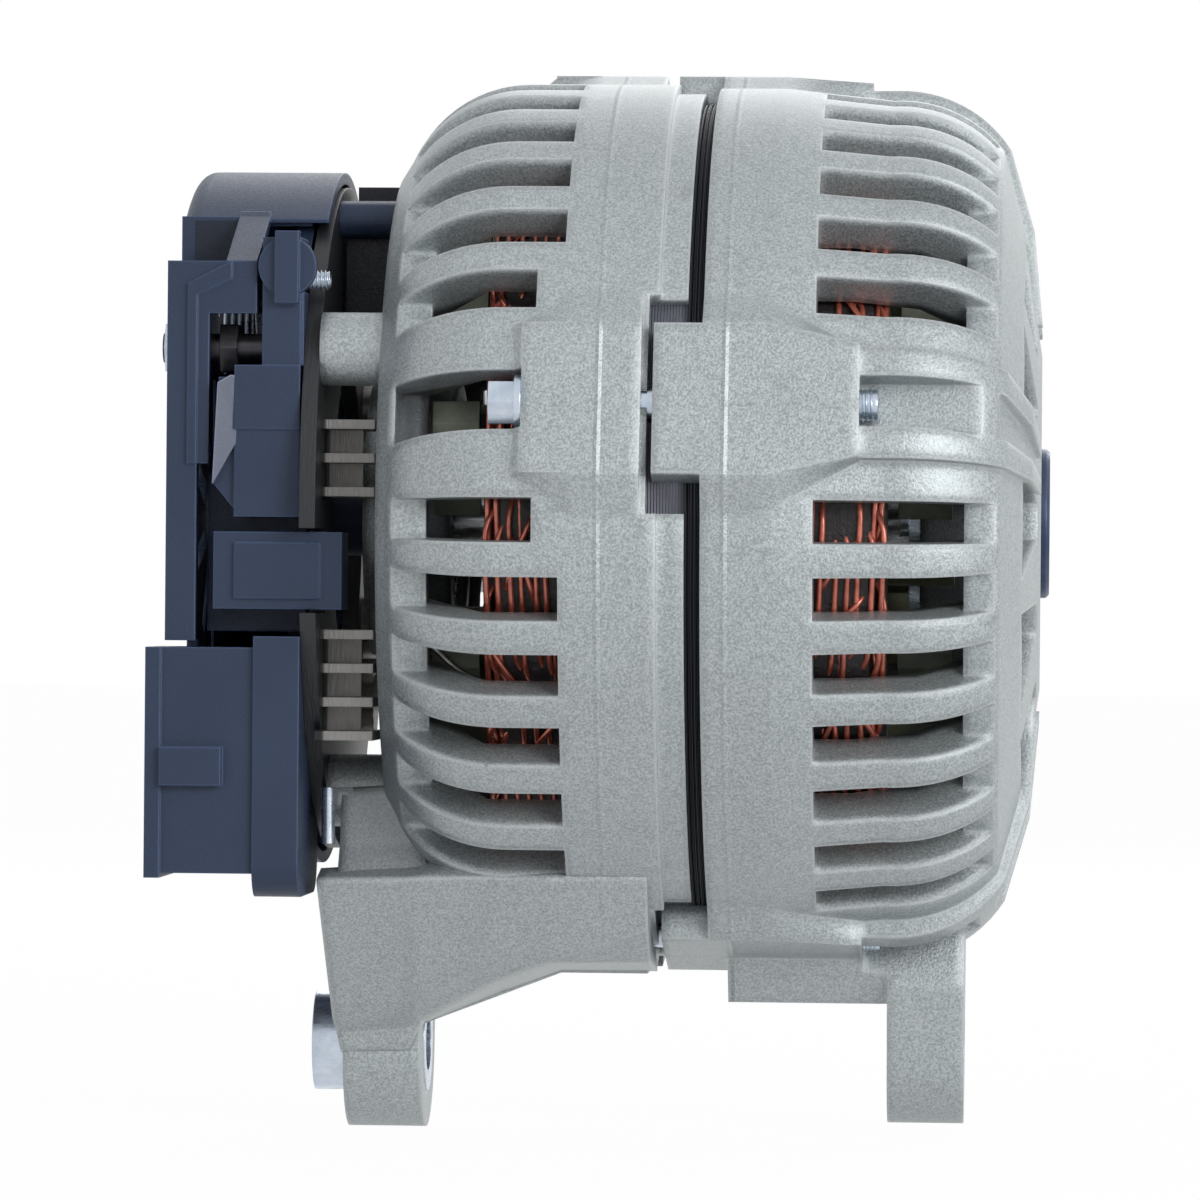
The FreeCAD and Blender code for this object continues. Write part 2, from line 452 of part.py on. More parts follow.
# Rear housing
def rear_housing():
    body = new_body("rear_housing")
    seat = "core_radius + seat_clearance"
    lug_turn = "90 - lug_angle"
    turned(body, "shell", [
        ("band_front", seat), (f"{CORE_REAR}", seat), (f"{CORE_REAR}", "rear_rib_inner"),
        ("rear_rib_bend_x", "rear_rib_inner"), ("rear_slot_rear", "rear_rib_inner_end"),
        ("rear_face + rear_wall", "rear_face_radius - 5"), ("rear_face + rear_wall", "rear_hub_radius - 2"),
        ("rear_face", "rear_hub_radius - 2"), ("rear_face", "rear_face_radius"),
        ("rear_corner_x", "rear_corner_radius", "-rear_bend_curve"), ("rear_bend_x", "rear_barrel_radius"),
        ("band_end", "rear_barrel_radius"), ("band_end", "band_radius"), ("band_front", "band_radius")])
    notch = turned(body, "band_notch", [
        ("band_front + 1", "core_radius - 1"), ("band_front + 1", "rim_radius + 1"),
        ("lug_gap_front - 1", "rim_radius + 1"), ("lug_gap_front - 1", "core_radius - 1")],
        cut=True, angle="2 * band_notch_half_angle", turn=lug_turn)
    ring_of(body, "band_notches", [notch], "lug_count")
    lug = radial_pad(body, "lug", rectangle("rear_lug_rear", "-lug_half_width", "rear_lug_front",
        "lug_half_width"),
                     lug_turn, "head_window_floor", "lug_face")
    pad = sloping_pad(body, "lug_pad",
                      mirrored([("rear_pad_tip_x", "rear_pad_tip_half_width"),
                                ("rear_pad_bend_x", "rear_pad_half_width"),
                                ("rear_lug_front", "rear_pad_half_width")]),
                      mirrored([("rear_lug_rear", "lug_half_width - 1"), ("rear_pad_bend_x",
                      "lug_half_width"),
                                ("rear_lug_front", "lug_half_width")]),
                      lug_turn, "rear_barrel_radius - pad_depth", "lug_face")
    ring_of(body, "lugs", [lug, pad], "lug_count")
    turned(body, "core_seat", rectangle(CORE_REAR, "core_bore", "rear_lug_front + 1", seat), cut=True)
    slot = air_slot(body, "air_slot", "rear_slot_front", "rear_slot_rear", "rear_corner_x - 1",
                    f"slot_start + {SLOT_PITCH}")
    rows_between_lugs(body, "air_slots", slot, "slots_between_lugs - 2")
    short_slots = [air_slot(body, name, "rear_short_slot_front", "rear_slot_rear", "rear_corner_x - 1", turn)
                   for name, turn in (("lower_short_slot", "slot_start"), ("upper_short_slot",
                   "-slot_start"))]
    ring_of(body, "short_slots", short_slots, "lug_count")
    head_window = radial_cut(body, "head_window", rectangle(
        "head_window_rear", "-head_window_width / 2", "rear_lug_rear", "head_window_width / 2"), lug_turn,
        floor="rear_face_radius")
    ring_of(body, "head_windows", [head_window], "lug_count")
    window = along(body, "rear_window", "rear_face - 1", "rear_face + 2 * rear_wall", [[
        ("-rear_window_width * 0.3", "rear_window_inner"), ("rear_window_width * 0.3", "rear_window_inner"),
        ("rear_window_width", "rear_window_outer"), ("-rear_window_width", "rear_window_outer")]], cut=True)
    ring_of(body, "rear_windows", [window], "rear_windows")
    turned(body, "hub", [
        ("rear_hub_rear", "ring_body_radius + 1"), (f"{REAR_BEARING_REAR}", "ring_body_radius + 1"),
        (f"{REAR_BEARING_REAR}", "rear_bearing_radius + seat_clearance"),
        ("rear_hub_front", "rear_bearing_radius + seat_clearance"),
        ("rear_hub_front", "rear_hub_radius"), ("rear_hub_rear", "rear_hub_radius")])
    bolt = along(body, "bolt_hole", "rear_lug_rear - 1", "rear_lug_front + 1",
                 circles=[bolt_hole_circle("bolt_radius + bolt_clearance")], cut=True)
    ring_of(body, "bolt_holes", [bolt], "lug_count")
    along(body, "posts", "sink_front", "rear_face + 1",
          circles=[(across, up, "post_radius") for across, up in POSTS.values()])
    along(body, "post_bores", "sink_front - 1", "sink_front + stud_depth",
          circles=[(across, up, "stud_bolt_radius + post_bore_gap") for across, up in POSTS.values()],
          cut=True)
    along(body, "rear_foot", "rear_foot_rear", "rear_foot_front", [
        foot_outline("rear_face_radius - 1", "rear_foot_radius")])
    sideways(body, "rear_web", "web_half_width", "-web_half_width", [[
        ("rear_foot_rear", "-foot_drop"), ("rear_foot_front", "-rear_web_low"),
        ("rear_web_bend_x", "-rear_web_high"), ("rear_web_front", "-rear_web_high"),
        ("rear_web_front", "-rear_barrel_radius + 2"), ("rear_bend_x", "-rear_barrel_radius + 2"),
        ("rear_slot_rear", "-rear_rib_inner"), ("rear_face + 1", "-rear_face_radius + 2"),
        ("rear_foot_rear", "-foot_root_drop")]])
    along(body, "rear_foot_bore", "rear_foot_rear - 1", "rear_foot_front + 20",
          circles=[("0", "-foot_drop", "bush_radius + bush_clearance")], cut=True)
    return body


def foot_bush():
    body = new_body("foot_bush")
    along(body, "tube", "bush_rear", "bush_front",
          circles=[("0", "-foot_drop", "bush_radius"), ("0", "-foot_drop", "foot_bore")])
    return body


# Stator
def stator_core():
    body = new_body("stator_core")
    groove = "core_radius - core_groove_depth"
    middle = "(rim_face + band_front) / 2"
    corners = [(CORE_REAR, "core_bore"), ("core_front", "core_bore"), ("core_front", "core_radius")]
    for step in ("1.5", "0.5", "-0.5"):
        near = f"{middle} + core_groove_pitch * ({step}) - core_groove_pitch / 2"
        corners += [(f"{near} + core_groove_width / 2", "core_radius"), (f"{near} + core_groove_width / 2",
            groove),
                    (f"{near} - core_groove_width / 2", groove), (f"{near} - core_groove_width / 2",
                    "core_radius")]
    turned(body, "laminations", corners + [(CORE_REAR, "core_radius")])
    half = "core_slot_width / 2"
    mouth = "core_slot_mouth / 2"
    slot = along(body, "slot", f"{CORE_REAR} - 1", "core_front + 1", [[
        (f"-{mouth}", "core_bore - 1"), (mouth, "core_bore - 1"), (mouth, "core_bore + core_tooth_tip"),
        (half, "core_bore + core_tooth_tip"), (half, "core_bore + core_slot_depth"),
        (f"-{half}", "core_bore + core_slot_depth"), (f"-{half}", "core_bore + core_tooth_tip"),
        (f"-{mouth}", "core_bore + core_tooth_tip")]], cut=True)
    ring_of(body, "slots", [slot], "core_slots")
    notch = along(body, "bolt_notch", f"{CORE_REAR} - 1", "core_front + 1",
                  circles=[bolt_hole_circle("bolt_radius + bolt_clearance + 0.2")], cut=True)
    ring_of(body, "bolt_notches", [notch], "lug_count")
    return body


def stator_winding():
    body = new_body("stator_winding")
    for name, near, far, back in (
            ("front_head", "core_front + winding_clearance", "core_front + winding_front_reach", "-"),
            ("rear_head", f"{CORE_REAR} - winding_clearance", f"{CORE_REAR} - winding_rear_reach", "+")):
        turned(body, name, [
            (near, "winding_inner"), (near, "winding_outer"), (f"{far} {back} winding_crown",
            "winding_outer"),
            (far, "winding_outer - winding_crown"), (far, "winding_inner + winding_crown"),
            (f"{far} {back} winding_crown", "winding_inner")])
    bar = along(body, "bar", f"{CORE_REAR} - winding_clearance - 1", "core_front + winding_clearance + 1", [
        rectangle("-core_slot_width / 2 + winding_clearance",
        "core_bore + core_tooth_tip + winding_clearance",
                  "core_slot_width / 2 - winding_clearance",
                  "core_bore + core_slot_depth - winding_clearance")])
    ring_of(body, "bars", [bar], "core_slots")
    return body


def through_bolts():
    body = new_body("through_bolts")
    shank = along(body, "shank", "rear_lug_rear", "bolt_end", circles=[bolt_hole_circle("bolt_radius")])
    flange = along(body, "flange", "rear_lug_rear - bolt_flange_height", "rear_lug_rear",
                   circles=[bolt_hole_circle("bolt_flange_radius")])
    corners = []
    for corner in range(6):
        corners.append((f"bolt_circle * {LUG_Y} + bolt_hex_flats / sqrt(3) * cos({60 * corner})",
                        f"bolt_circle * {LUG_Z} + bolt_hex_flats / sqrt(3) * sin({60 * corner})"))
    head = along(body, "head", "rear_lug_rear - bolt_flange_height - bolt_head_height",
                 "rear_lug_rear - bolt_flange_height", [corners])
    ring_of(body, "bolts", [shank, flange, head], "lug_count")
    return body


# Shaft, collar and bearings
def rotor_shaft():
    body = new_body("rotor_shaft")
    turned(body, "steps", [
        ("ring_body_end", "0"), ("0", "0"), ("0", "shaft_radius"),
        (f"{FRONT_BEARING_REAR} - 1", "shaft_radius"), (f"{FRONT_BEARING_REAR} - 1", "shaft_middle_radius"),
        ("rear_bearing_front + 1", "shaft_middle_radius"), ("rear_bearing_front + 1", "shaft_radius"),
        (REAR_BEARING_REAR, "shaft_radius"), (REAR_BEARING_REAR, "rear_stub_radius"),
        ("ring_body_end", "rear_stub_radius")])
    along(body, "thread_bore", "-shaft_thread_depth", "1", circles=[("0", "0", "shaft_thread_radius")],
        cut=True)
    return body


def tube(label, rear, front, inner, outer):
    """A plain ring about the shaft's axis."""
    ring = new_body(label)
    along(ring, "ring", rear, front, circles=[("0", "0", outer), ("0", "0", inner)])
    return ring


def drive_collar():
    body = new_body("drive_collar")
    turned(body, "collar", [
        ("collar_rear", "shaft_radius + seat_clearance"), ("0", "shaft_radius + seat_clearance"),
        ("0", "collar_radius - collar_edge"), ("-collar_edge", "collar_radius"),
        ("collar_rear", "collar_radius")])
    return body


def race(label, front, width, inner, outer, ball_circle, ball, outside):
    """A bearing ring with its ball groove, outside or inside the balls."""
    body = new_body(label)
    middle = f"({front} - {width} / 2)"
    reach = f"sqrt(({ball} + ball_clearance)^2 - ({ball} - groove_depth)^2)"
    rear = f"({front} - {width})"
    if outside:
        lip = f"{ball_circle} + {ball} - groove_depth"
        corners = [(rear, lip), (f"{middle} - {reach}", lip, f"-{ball} + ball_clearance"),
                   (f"{middle} + {reach}", lip), (front, lip), (front, outer), (rear, outer)]
    else:
        lip = f"{ball_circle} - {ball} + groove_depth"
        corners = [(rear, inner), (front, inner), (front, lip),
                   (f"{middle} + {reach}", lip, f"-{ball} + ball_clearance"),
                   (f"{middle} - {reach}", lip), (rear, lip)]
    turned(body, "race", corners)
    return body


def cage(label, front, width, ball_circle, ball):
    """A thin ring with a round pocket for each ball."""
    body = new_body(label)
    middle = f"({front} - {width} / 2)"
    half = f"({ball} + cage_rim)"
    turned(body, "ring", rectangle(f"{middle} - {half}", f"{ball_circle} - cage_thickness / 2",
                                   f"{middle} + {half}", f"{ball_circle} + cage_thickness / 2"))
    sketch = new_sketch(body, "pocket_outline", "XY_Plane", circles=[(middle, "0", f"{ball} + cage_play")])
    pocket = body.newObject("PartDesign::Pocket", "pocket")
    pocket.Profile = sketch
    pocket.Type = "ThroughAll"
    pocket.Reversed = True
    ring_of(body, "pockets", [pocket], "ball_count")
    return body


BEARINGS = {
    "front": ("front_bearing_front", "front_bearing_width", "front_bearing_radius", "ball_radius"),
    "rear": ("rear_bearing_front", "rear_bearing_width", "rear_bearing_radius", "rear_ball_radius"),
}


def bearings():
    made = []
    for end, (front, width, outer, ball) in BEARINGS.items():
        circle = f"(({outer} + shaft_radius) / 2)"
        made.append(race(f"{end}_bearing_outer_ring", front, width, "", outer, circle, ball, True))
        made.append(race(f"{end}_bearing_inner_ring", front, width, "shaft_radius + bearing_fit", "", circle,
                         ball, False))
        made.append(ball_set(f"{end}_bearing_balls", front, width, circle, ball))
        made.append(cage(f"{end}_bearing_cage", front, width, circle, ball))
        seal = new_body(f"{end}_bearing_seals")
        inner = f"{circle} - {ball} + groove_depth + seal_gap"
        rim = f"{circle} + {ball} - groove_depth"
        along(seal, "front_seal", f"{front} - seal_inset - seal_thickness", f"{front} - seal_inset",
              circles=[("0", "0", rim), ("0", "0", inner)])
        along(seal, "rear_seal", f"{front} - {width} + seal_inset",
            f"{front} - {width} + seal_inset + seal_thickness",
              circles=[("0", "0", rim), ("0", "0", inner)])
        made.append(seal)
    return made


def ball_set(label, front, width, circle, ball):
    """Balls spaced evenly round the bearing."""
    spheres = []
    middle = value(f"{front} - {width} / 2")
    for index in range(int(value("ball_count"))):
        sphere = document.addObject("Part::Sphere", f"{label}_{index + 1}")
        sphere.setExpression("Radius", bound(ball))
        sphere.Radius = value(ball)
        angle = f"{index} * 360 / ball_count"
        sphere.Placement.Base = Vector(middle, value(f"{circle} * sin({angle})"),
            value(f"{circle} * cos({angle})"))
        sphere.setExpression("Placement.Base.x", bound(f"{front} - {width} / 2"))
        sphere.setExpression("Placement.Base.y", bound(f"{circle} * sin({angle})"))
        sphere.setExpression("Placement.Base.z", bound(f"{circle} * cos({angle})"))
        spheres.append(sphere)
    group = document.addObject("Part::Compound", label)
    group.Label = label
    group.Links = spheres
    return group


def retainer():
    plate = new_body("bearing_retainer")
    front = "hub_rear"
    rear = "hub_rear - retainer_thickness"
    along(plate, "plate", rear, front, circles=[("0", "0", "retainer_radius"), ("0", "0", "retainer_bore")])
    holes = along(plate, "screw_hole", f"{rear} - 1", f"{front} + 1",
                  circles=[("0", "retainer_screw_circle", "small_screw_radius + 0.1")], cut=True)
    ring_of(plate, "screw_holes", [holes], "retainer_screws")
    screws = new_body("retainer_screws")
    shank = along(screws, "shank", rear, "hub_rear + screw_bite", circles=[("0", "retainer_screw_circle",
        "small_screw_radius")])
    head = along(screws, "head", f"{rear} - small_head_height", rear,
                 circles=[("0", "retainer_screw_circle", "small_head_radius")])
    ring_of(screws, "screws", [shank, head], "retainer_screws")
    return [plate, screws]


# Claw poles, coil and fans
CLAW_FACETS = (1, 0.5, 0, -0.5, -1)


def claw_pole(label, outer_face, direction, start_angle):
    """A disc with six claws that taper towards the other pole. Direction is 1 when they point to +X."""
    body = new_body(label)
    inner_face = f"({outer_face} + {direction} * pole_disc)"
    low, high = (outer_face, inner_face) if direction > 0 else (inner_face, outer_face)
    along(body, "disc", low, high, circles=[("0", "0", "pole_hub_radius"), ("0", "0",
        "shaft_middle_radius + bearing_fit")])
    core_ends = (inner_face, POLE_MIDDLE) if direction > 0 else (POLE_MIDDLE, inner_face)
    along(body, "core", core_ends[0], core_ends[1],
          circles=[("0", "0", "pole_core_radius"), ("0", "0", "shaft_middle_radius + bearing_fit")])
    def sector(inner, half):
        face = [(f"pole_radius * sin({half} * {share})", f"pole_radius * cos({half} * {share})")
                for share in CLAW_FACETS]
        return face + [(f"-({inner}) * sin({half})", f"({inner}) * cos({half})"),
                       (f"({inner}) * sin({half})", f"({inner}) * cos({half})")]
    root = along(body, "root", low, high, [sector("pole_hub_radius - 2", "claw_root_half_angle")])
    tip_face = "pole_front - claw_tip_gap" if direction > 0 else "pole_rear + claw_tip_gap"
    sections = [
        new_sketch(body, "claw_root_section", "YZ_Plane", [sector("claw_root_inner", "claw_root_half_angle")],
                   shift=inner_face),
        new_sketch(body, "claw_tip_section", "YZ_Plane", [sector("claw_tip_inner", "claw_tip_half_angle")],
                   shift=tip_face)]
    claw = body.newObject("PartDesign::AdditiveLoft", "claw")
    claw.Profile = sections[0]
    claw.Sections = sections[1:]
    claw.Ruled = True
    ring_of(body, "claws", [root, claw], "pole_count")
    body.Placement = FreeCAD.Placement(Vector(), FreeCAD.Rotation(Vector(1, 0, 0), value(start_angle)))
    body.setExpression("Placement.Rotation.Angle", bound(start_angle))
    return body


def claw_poles():
    return [claw_pole("front_claw_pole", "pole_front", -1, "0.001"),
            claw_pole("rear_claw_pole", "pole_rear", 1, "180 / pole_count")]


def coil():
    inner_rear, inner_front = "(pole_rear + pole_disc)", "(pole_front - pole_disc)"
    bobbin = new_body("coil_bobbin")
    turned(bobbin, "spool", [
        (f"{inner_rear} + bobbin_gap", "pole_core_radius + bobbin_gap"),
        (f"{inner_front} - bobbin_gap", "pole_core_radius + bobbin_gap"),
        (f"{inner_front} - bobbin_gap", "coil_outer + 0.8"),
        (f"{inner_front} - bobbin_gap - bobbin_wall", "coil_outer + 0.8"),
        (f"{inner_front} - bobbin_gap - bobbin_wall", "pole_core_radius + bobbin_gap + bobbin_wall"),
        (f"{inner_rear} + bobbin_gap + bobbin_wall", "pole_core_radius + bobbin_gap + bobbin_wall"),
        (f"{inner_rear} + bobbin_gap + bobbin_wall", "coil_outer + 0.8"),
        (f"{inner_rear} + bobbin_gap", "coil_outer + 0.8")])
    winding = tube("field_coil", f"{inner_rear} + bobbin_gap + bobbin_wall",
        f"{inner_front} - bobbin_gap - bobbin_wall",
                   "pole_core_radius + bobbin_gap + bobbin_wall", "coil_outer")
    return [bobbin, winding]


def fan(label, face, direction, reach, count):
    """A sheet disc with swept blades that stand off the pole's outer face."""
    body = new_body(label)
    low, high = (face, f"{face} + fan_sheet") if direction > 0 else (f"{face} - fan_sheet", face)
    along(body, "disc", low, high, circles=[("0", "0", "fan_root + 3"), ("0", "0", "fan_bore")])
    low, high = (face, f"{face} + {reach}") if direction > 0 else (f"{face} - {reach}", face)
    blade = along(body, "blade", low, high, [[
        ("0", "fan_root"), ("fan_sheet", "fan_root", "-blade_curve"),
        ("blade_sweep + fan_sheet", "sqrt(fan_outer^2 - blade_sweep^2)"),
        ("blade_sweep", "sqrt(fan_outer^2 - blade_sweep^2)", "blade_curve")]])
    ring_of(body, "blades", [blade], count)
    return body


def fans():
    return [fan("front_fan", "pole_front", 1, "front_fan_reach", "front_blades"),
            fan("rear_fan", "pole_rear", -1, "rear_fan_reach", "rear_blades")]



# Slip rings, brushes and regulator
def slip_rings():
    carrier = tube("slip_ring_carrier", "ring_body_end", "ring_body_start", "rear_stub_radius + bearing_fit",
                   "ring_body_radius")
    rings = new_body("slip_rings")
    for name, middle in (("inner_ring", "inner_ring_x"), ("outer_ring", "outer_ring_x")):
        along(rings, name, f"{middle} - ring_width / 2", f"{middle} + ring_width / 2",
              circles=[("0", "0", "ring_radius"), ("0", "0", "ring_body_radius + bearing_fit")])
    return [carrier, rings]


def box_solid(label, x, y, z):
    """A box bound to the sheet, from its low to its high side along each axis."""
    solid = document.addObject("Part::Box", label)
    solid.Label = label
    for side, (low, high) in zip(("Length", "Width", "Height"), (x, y, z)):
        setattr(solid, side, value(f"{high} - ({low})"))
        solid.setExpression(side, bound(f"{high} - ({low})"))
    for axis, (low, _) in zip("xyz", (x, y, z)):
        solid.setExpression(f"Placement.Base.{axis}", bound(low))
    return solid


BRUSHES = {"inner_brush": "inner_ring_x", "outer_brush": "outer_ring_x"}
BRUSH_END = "(-ring_radius - brush_gap - brush_length)"
CHAMBER_END = "(-holder_outer + holder_wall)"


def brushes():
    """Carbon brushes that stand on the slip rings, each pushed by a spring from its chamber's end."""
    made = []
    for name, middle in BRUSHES.items():
        made.append(box_solid(
            name, (f"{middle} - brush_width / 2", f"{middle} + brush_width / 2"),
            (BRUSH_END, "-ring_radius - brush_gap"), ("-brush_height / 2", "brush_height / 2")))
        room = f"({BRUSH_END} - {CHAMBER_END} - 2 * spring_seat)"
        helix = document.addObject("Part::Helix", name + "_spring_path")
        helix.Radius, helix.Pitch, helix.Height = (
            value("spring_radius"), value(f"{room} / spring_turns"), value(room))
        helix.setExpression("Radius", bound("spring_radius"))
        helix.setExpression("Pitch", bound(f"({room} - 2 * spring_wire) / spring_turns"))
        helix.setExpression("Height", bound(f"{room} - 2 * spring_wire"))
        wire = document.addObject("Part::Circle", name + "_spring_wire")
        wire.Radius = value("spring_wire")
        wire.setExpression("Radius", bound("spring_wire"))
        wire.Placement = FreeCAD.Placement(Vector(value("spring_radius"), 0, 0),
                                           FreeCAD.Rotation(Vector(1, 0, 0), 90))
        wire.setExpression("Placement.Base.x", bound("spring_radius"))
        spring = document.addObject("Part::Sweep", name + "_spring")
        spring.Label = name + "_spring"
        spring.Sections = [wire]
        spring.Spine = (helix, ["Edge1"])
        spring.Solid = True
        spring.Frenet = True
        spring.Placement = FreeCAD.Placement(Vector(value(middle), value(BRUSH_END), 0),
                                             FreeCAD.Rotation(Vector(1, 0, 0), 90))
        spring.setExpression("Placement.Base.x", bound(middle))
        spring.setExpression("Placement.Base.y", bound(f"{BRUSH_END} - spring_seat - spring_wire"))
        made.append(spring)
    return made


def regulator_housing():
    """The brush holder with its two chambers, and the regulator's body below it."""
    body = new_body("regulator_housing")
    along(body, "holder", "holder_rear", "holder_front", [
        rectangle("-holder_outer", "-holder_half_height", "-holder_inner", "holder_half_height")])
    along(body, "regulator", "holder_rear", "holder_front", [
        rectangle("-holder_outer", "-regulator_drop", "-regulator_inner", "-holder_half_height + 1")])
    for name, middle in BRUSHES.items():
        along(body, name + "_chamber", f"{middle} - brush_width / 2 - brush_play",
              f"{middle} + brush_width / 2 + brush_play", [rectangle(
                  CHAMBER_END, "-brush_height / 2 - brush_play", "-holder_inner + 1",
                  "brush_height / 2 + brush_play")], cut=True)
    return body


def side_cap():
    """A shallow moulded box over the regulator's connections, open towards the shaft."""
    body = new_body("side_cap")
    sideways(body, "block", "cap_near_y", "cap_far_y",
             [rectangle("cap_rear", "-cap_bottom", "cap_front", "-cap_top")])
    sideways(body, "raised_panel", "cap_near_y + cap_panel", "cap_near_y", [rectangle(
        "cap_rear + 2 * cap_wall", "-cap_bottom + cap_wall", "cap_front - 2 * cap_wall",
        "-cap_top - cap_wall")])
    sideways(body, "hollow", "cap_near_y - cap_wall", "cap_far_y - 1", [rectangle(
        "cap_rear + cap_wall", "-cap_bottom + cap_wall", "cap_front - cap_wall", "-cap_top - cap_wall")],
        cut=True)
    return body


# Rectifier on the rear face
def diode_places(circle, first):
    places = []
    for index in range(4):
        angle = f"({first} + {index} * diode_step)"
        places.append((f"{circle} * cos({angle})", f"{circle} * sin({angle})"))
    return places


MINUS_DIODES = diode_places("diode_circle", "minus_diode_start")
PLUS_DIODES = diode_places("plus_diode_circle", "plus_diode_start")


def negative_heat_sink():
    body = new_body("negative_heat_sink")
    along(body, "plate", "sink_rear", "sink_front", circles=[("0", "0", "sink_outer"), ("0", "0",
        "sink_inner")])
    along(body, "cap_notch", "sink_rear - 1", "sink_front + 1", [rectangle(
        "-sink_outer - 1", "-cap_bottom - cap_gap", "-cap_far_y + cap_gap", "-cap_top + cap_gap")], cut=True)
    along(body, "sockets", "sink_rear - 1", "sink_front + 1",
          circles=[(across, up, "diode_radius + bearing_fit") for across, up in MINUS_DIODES]
          + [(across, up, "stud_bolt_radius + 0.2") for across, up in POSTS.values()], cut=True)
    for index in range(7):
        drop = f"{index} * fin_pitch" if index < 3 else f"(({index} - 3) * fin_pitch + fin_lower_drop)"
        along(body, f"fin_{index + 1}", "sink_front - 1", "fin_front", [[
            ("-fin_outer_y", f"fin_top - {drop} - fin_thickness / 2"),
            ("-fin_inner_y", f"fin_top - {drop} - fin_thickness / 2"),
            ("-fin_inner_y", f"fin_top - {drop} + fin_thickness / 2"),
            ("-fin_outer_y", f"fin_top - {drop} + fin_thickness / 2")]])
    for name, start, last in (("upper_fin_web", "0", "2 * fin_pitch"),
                              ("lower_fin_web", "fin_lower_drop", "(fin_lower_drop + 3 * fin_pitch)")):
        along(body, name, "sink_front - 1", "fin_web_front", [rectangle(
            "-fin_web_y - fin_thickness", f"fin_top - {last}", "-fin_web_y", f"fin_top - {start}")])
    return body


def positive_heat_sink():
    body = new_body("positive_heat_sink")
    along(body, "plate", "plus_rear", "plus_front", circles=[("0", "0", "plus_outer"), ("0", "0",
        "plus_inner")])
    along(body, "near_side_cut", "plus_rear - 1", "plus_front + 1", [rectangle(
        "-plus_outer - 1", "-plus_outer - 1", "-plus_edge_y", "plus_outer + 1")], cut=True)
    along(body, "sockets", "plus_rear - 1", "plus_front + 1",
          circles=[(across, up, "diode_radius + bearing_fit") for across, up in PLUS_DIODES]
          + [("post_y", up, "spacer_radius + 0.15") for up in ("post_z", "-post_z")]
          + [("battery_y", "battery_z", "battery_radius + bearing_fit")], cut=True)
    return body


def diodes():
    minus = new_body("negative_diodes")
    along(minus, "cans", "sink_rear", "sink_rear + diode_height",
          circles=[(across, up, "diode_radius") for across, up in MINUS_DIODES])
    along(minus, "leads", "carrier_rear - diode_lead", "sink_rear",
          circles=[(across, up, "diode_lead_radius") for across, up in MINUS_DIODES])
    plus = new_body("positive_diodes")
    along(plus, "cans", "plus_front - diode_height", "plus_front",
          circles=[(across, up, "diode_radius") for across, up in PLUS_DIODES])
    along(plus, "leads", "plus_front", "carrier_rear + diode_lead",
          circles=[(across, up, "diode_lead_radius") for across, up in PLUS_DIODES])
    return [minus, plus]


def connection_carrier():
    """The moulded ring that joins the diodes, its sleeves and the stepped tower on the near side."""
    body = new_body("connection_carrier")
    along(body, "ring", "carrier_rear", "carrier_front", circles=[("0", "0", "plus_outer"), ("0", "0",
        "plus_inner")])
    along(body, "near_side_cut", "carrier_rear - 1", "carrier_front + 1", [rectangle(
        "-plus_outer - 1", "-plus_outer - 1", "-plus_edge_y", "carrier_arm_z")], cut=True)
    along(body, "sleeves", "plus_rear - 0.6", "sink_rear",
          circles=[("post_y", "post_z", "spacer_radius"), ("post_y", "-post_z", "spacer_radius")])
    sideways(body, "tower", "tower_near_y", "tower_far_y", [[
        ("tower_rear", "tower_bottom"), ("tower_front", "tower_bottom"), ("tower_front", "tower_top"),
        ("tower_neck_x", "tower_top"), ("tower_neck_x", "tower_step"), ("tower_rear", "tower_step")]])
    sideways(body, "tower_wedge", "tower_near_y - 1", "tower_far_y", [[
        ("tower_wedge_rear", "tower_wedge_low"), ("tower_rear + 1", "tower_bottom"),
        ("tower_rear + 1", "tower_step - 2"), ("tower_wedge_rear + 1", "tower_step - 2")]])
    sideways(body, "tower_foot", "tower_near_y - 1", "tower_far_y", [rectangle(
        "carrier_rear", "tower_step", "sink_rear", "tower_shoulder")])
    disc_x = "(tower_neck_x + tower_front) / 2 + 1"
    sideways(body, "terminal_disc", "tower_near_y + disc_reach", "tower_near_y - 1", circles=[
        (disc_x, "tower_top - disc_radius", "disc_radius")])
    sideways(body, "terminal_strap", "tower_near_y + 2 * disc_reach", "tower_near_y - 1", [rectangle(
        f"{disc_x} - strap_width / 2", "tower_shoulder - 2", f"{disc_x} + strap_width / 2", "tower_top + 1")])
    sideways(body, "tower_face", "tower_near_y + disc_reach / 2", "tower_near_y - 1", [rectangle(
        "tower_rear", "(tower_bottom + tower_step) / 2 + 2", "tower_front", "tower_step")])
    along(body, "holes", "tower_rear - 1", "sink_rear + 1",
          circles=[(across, up, "diode_lead_radius + 0.4") for across, up in MINUS_DIODES + PLUS_DIODES]
          + [(across, up, "stud_bolt_radius + 0.2") for across, up in list(POSTS.values())[:3]]
          + [("battery_y", "battery_z", "battery_head_radius + 0.3")], cut=True)
    return body


def hexagon(across, up, flats):
    return [(f"{across} + {flats} / sqrt(3) * cos({60 * corner})",
        f"{up} + {flats} / sqrt(3) * sin({60 * corner})")
            for corner in range(6)]


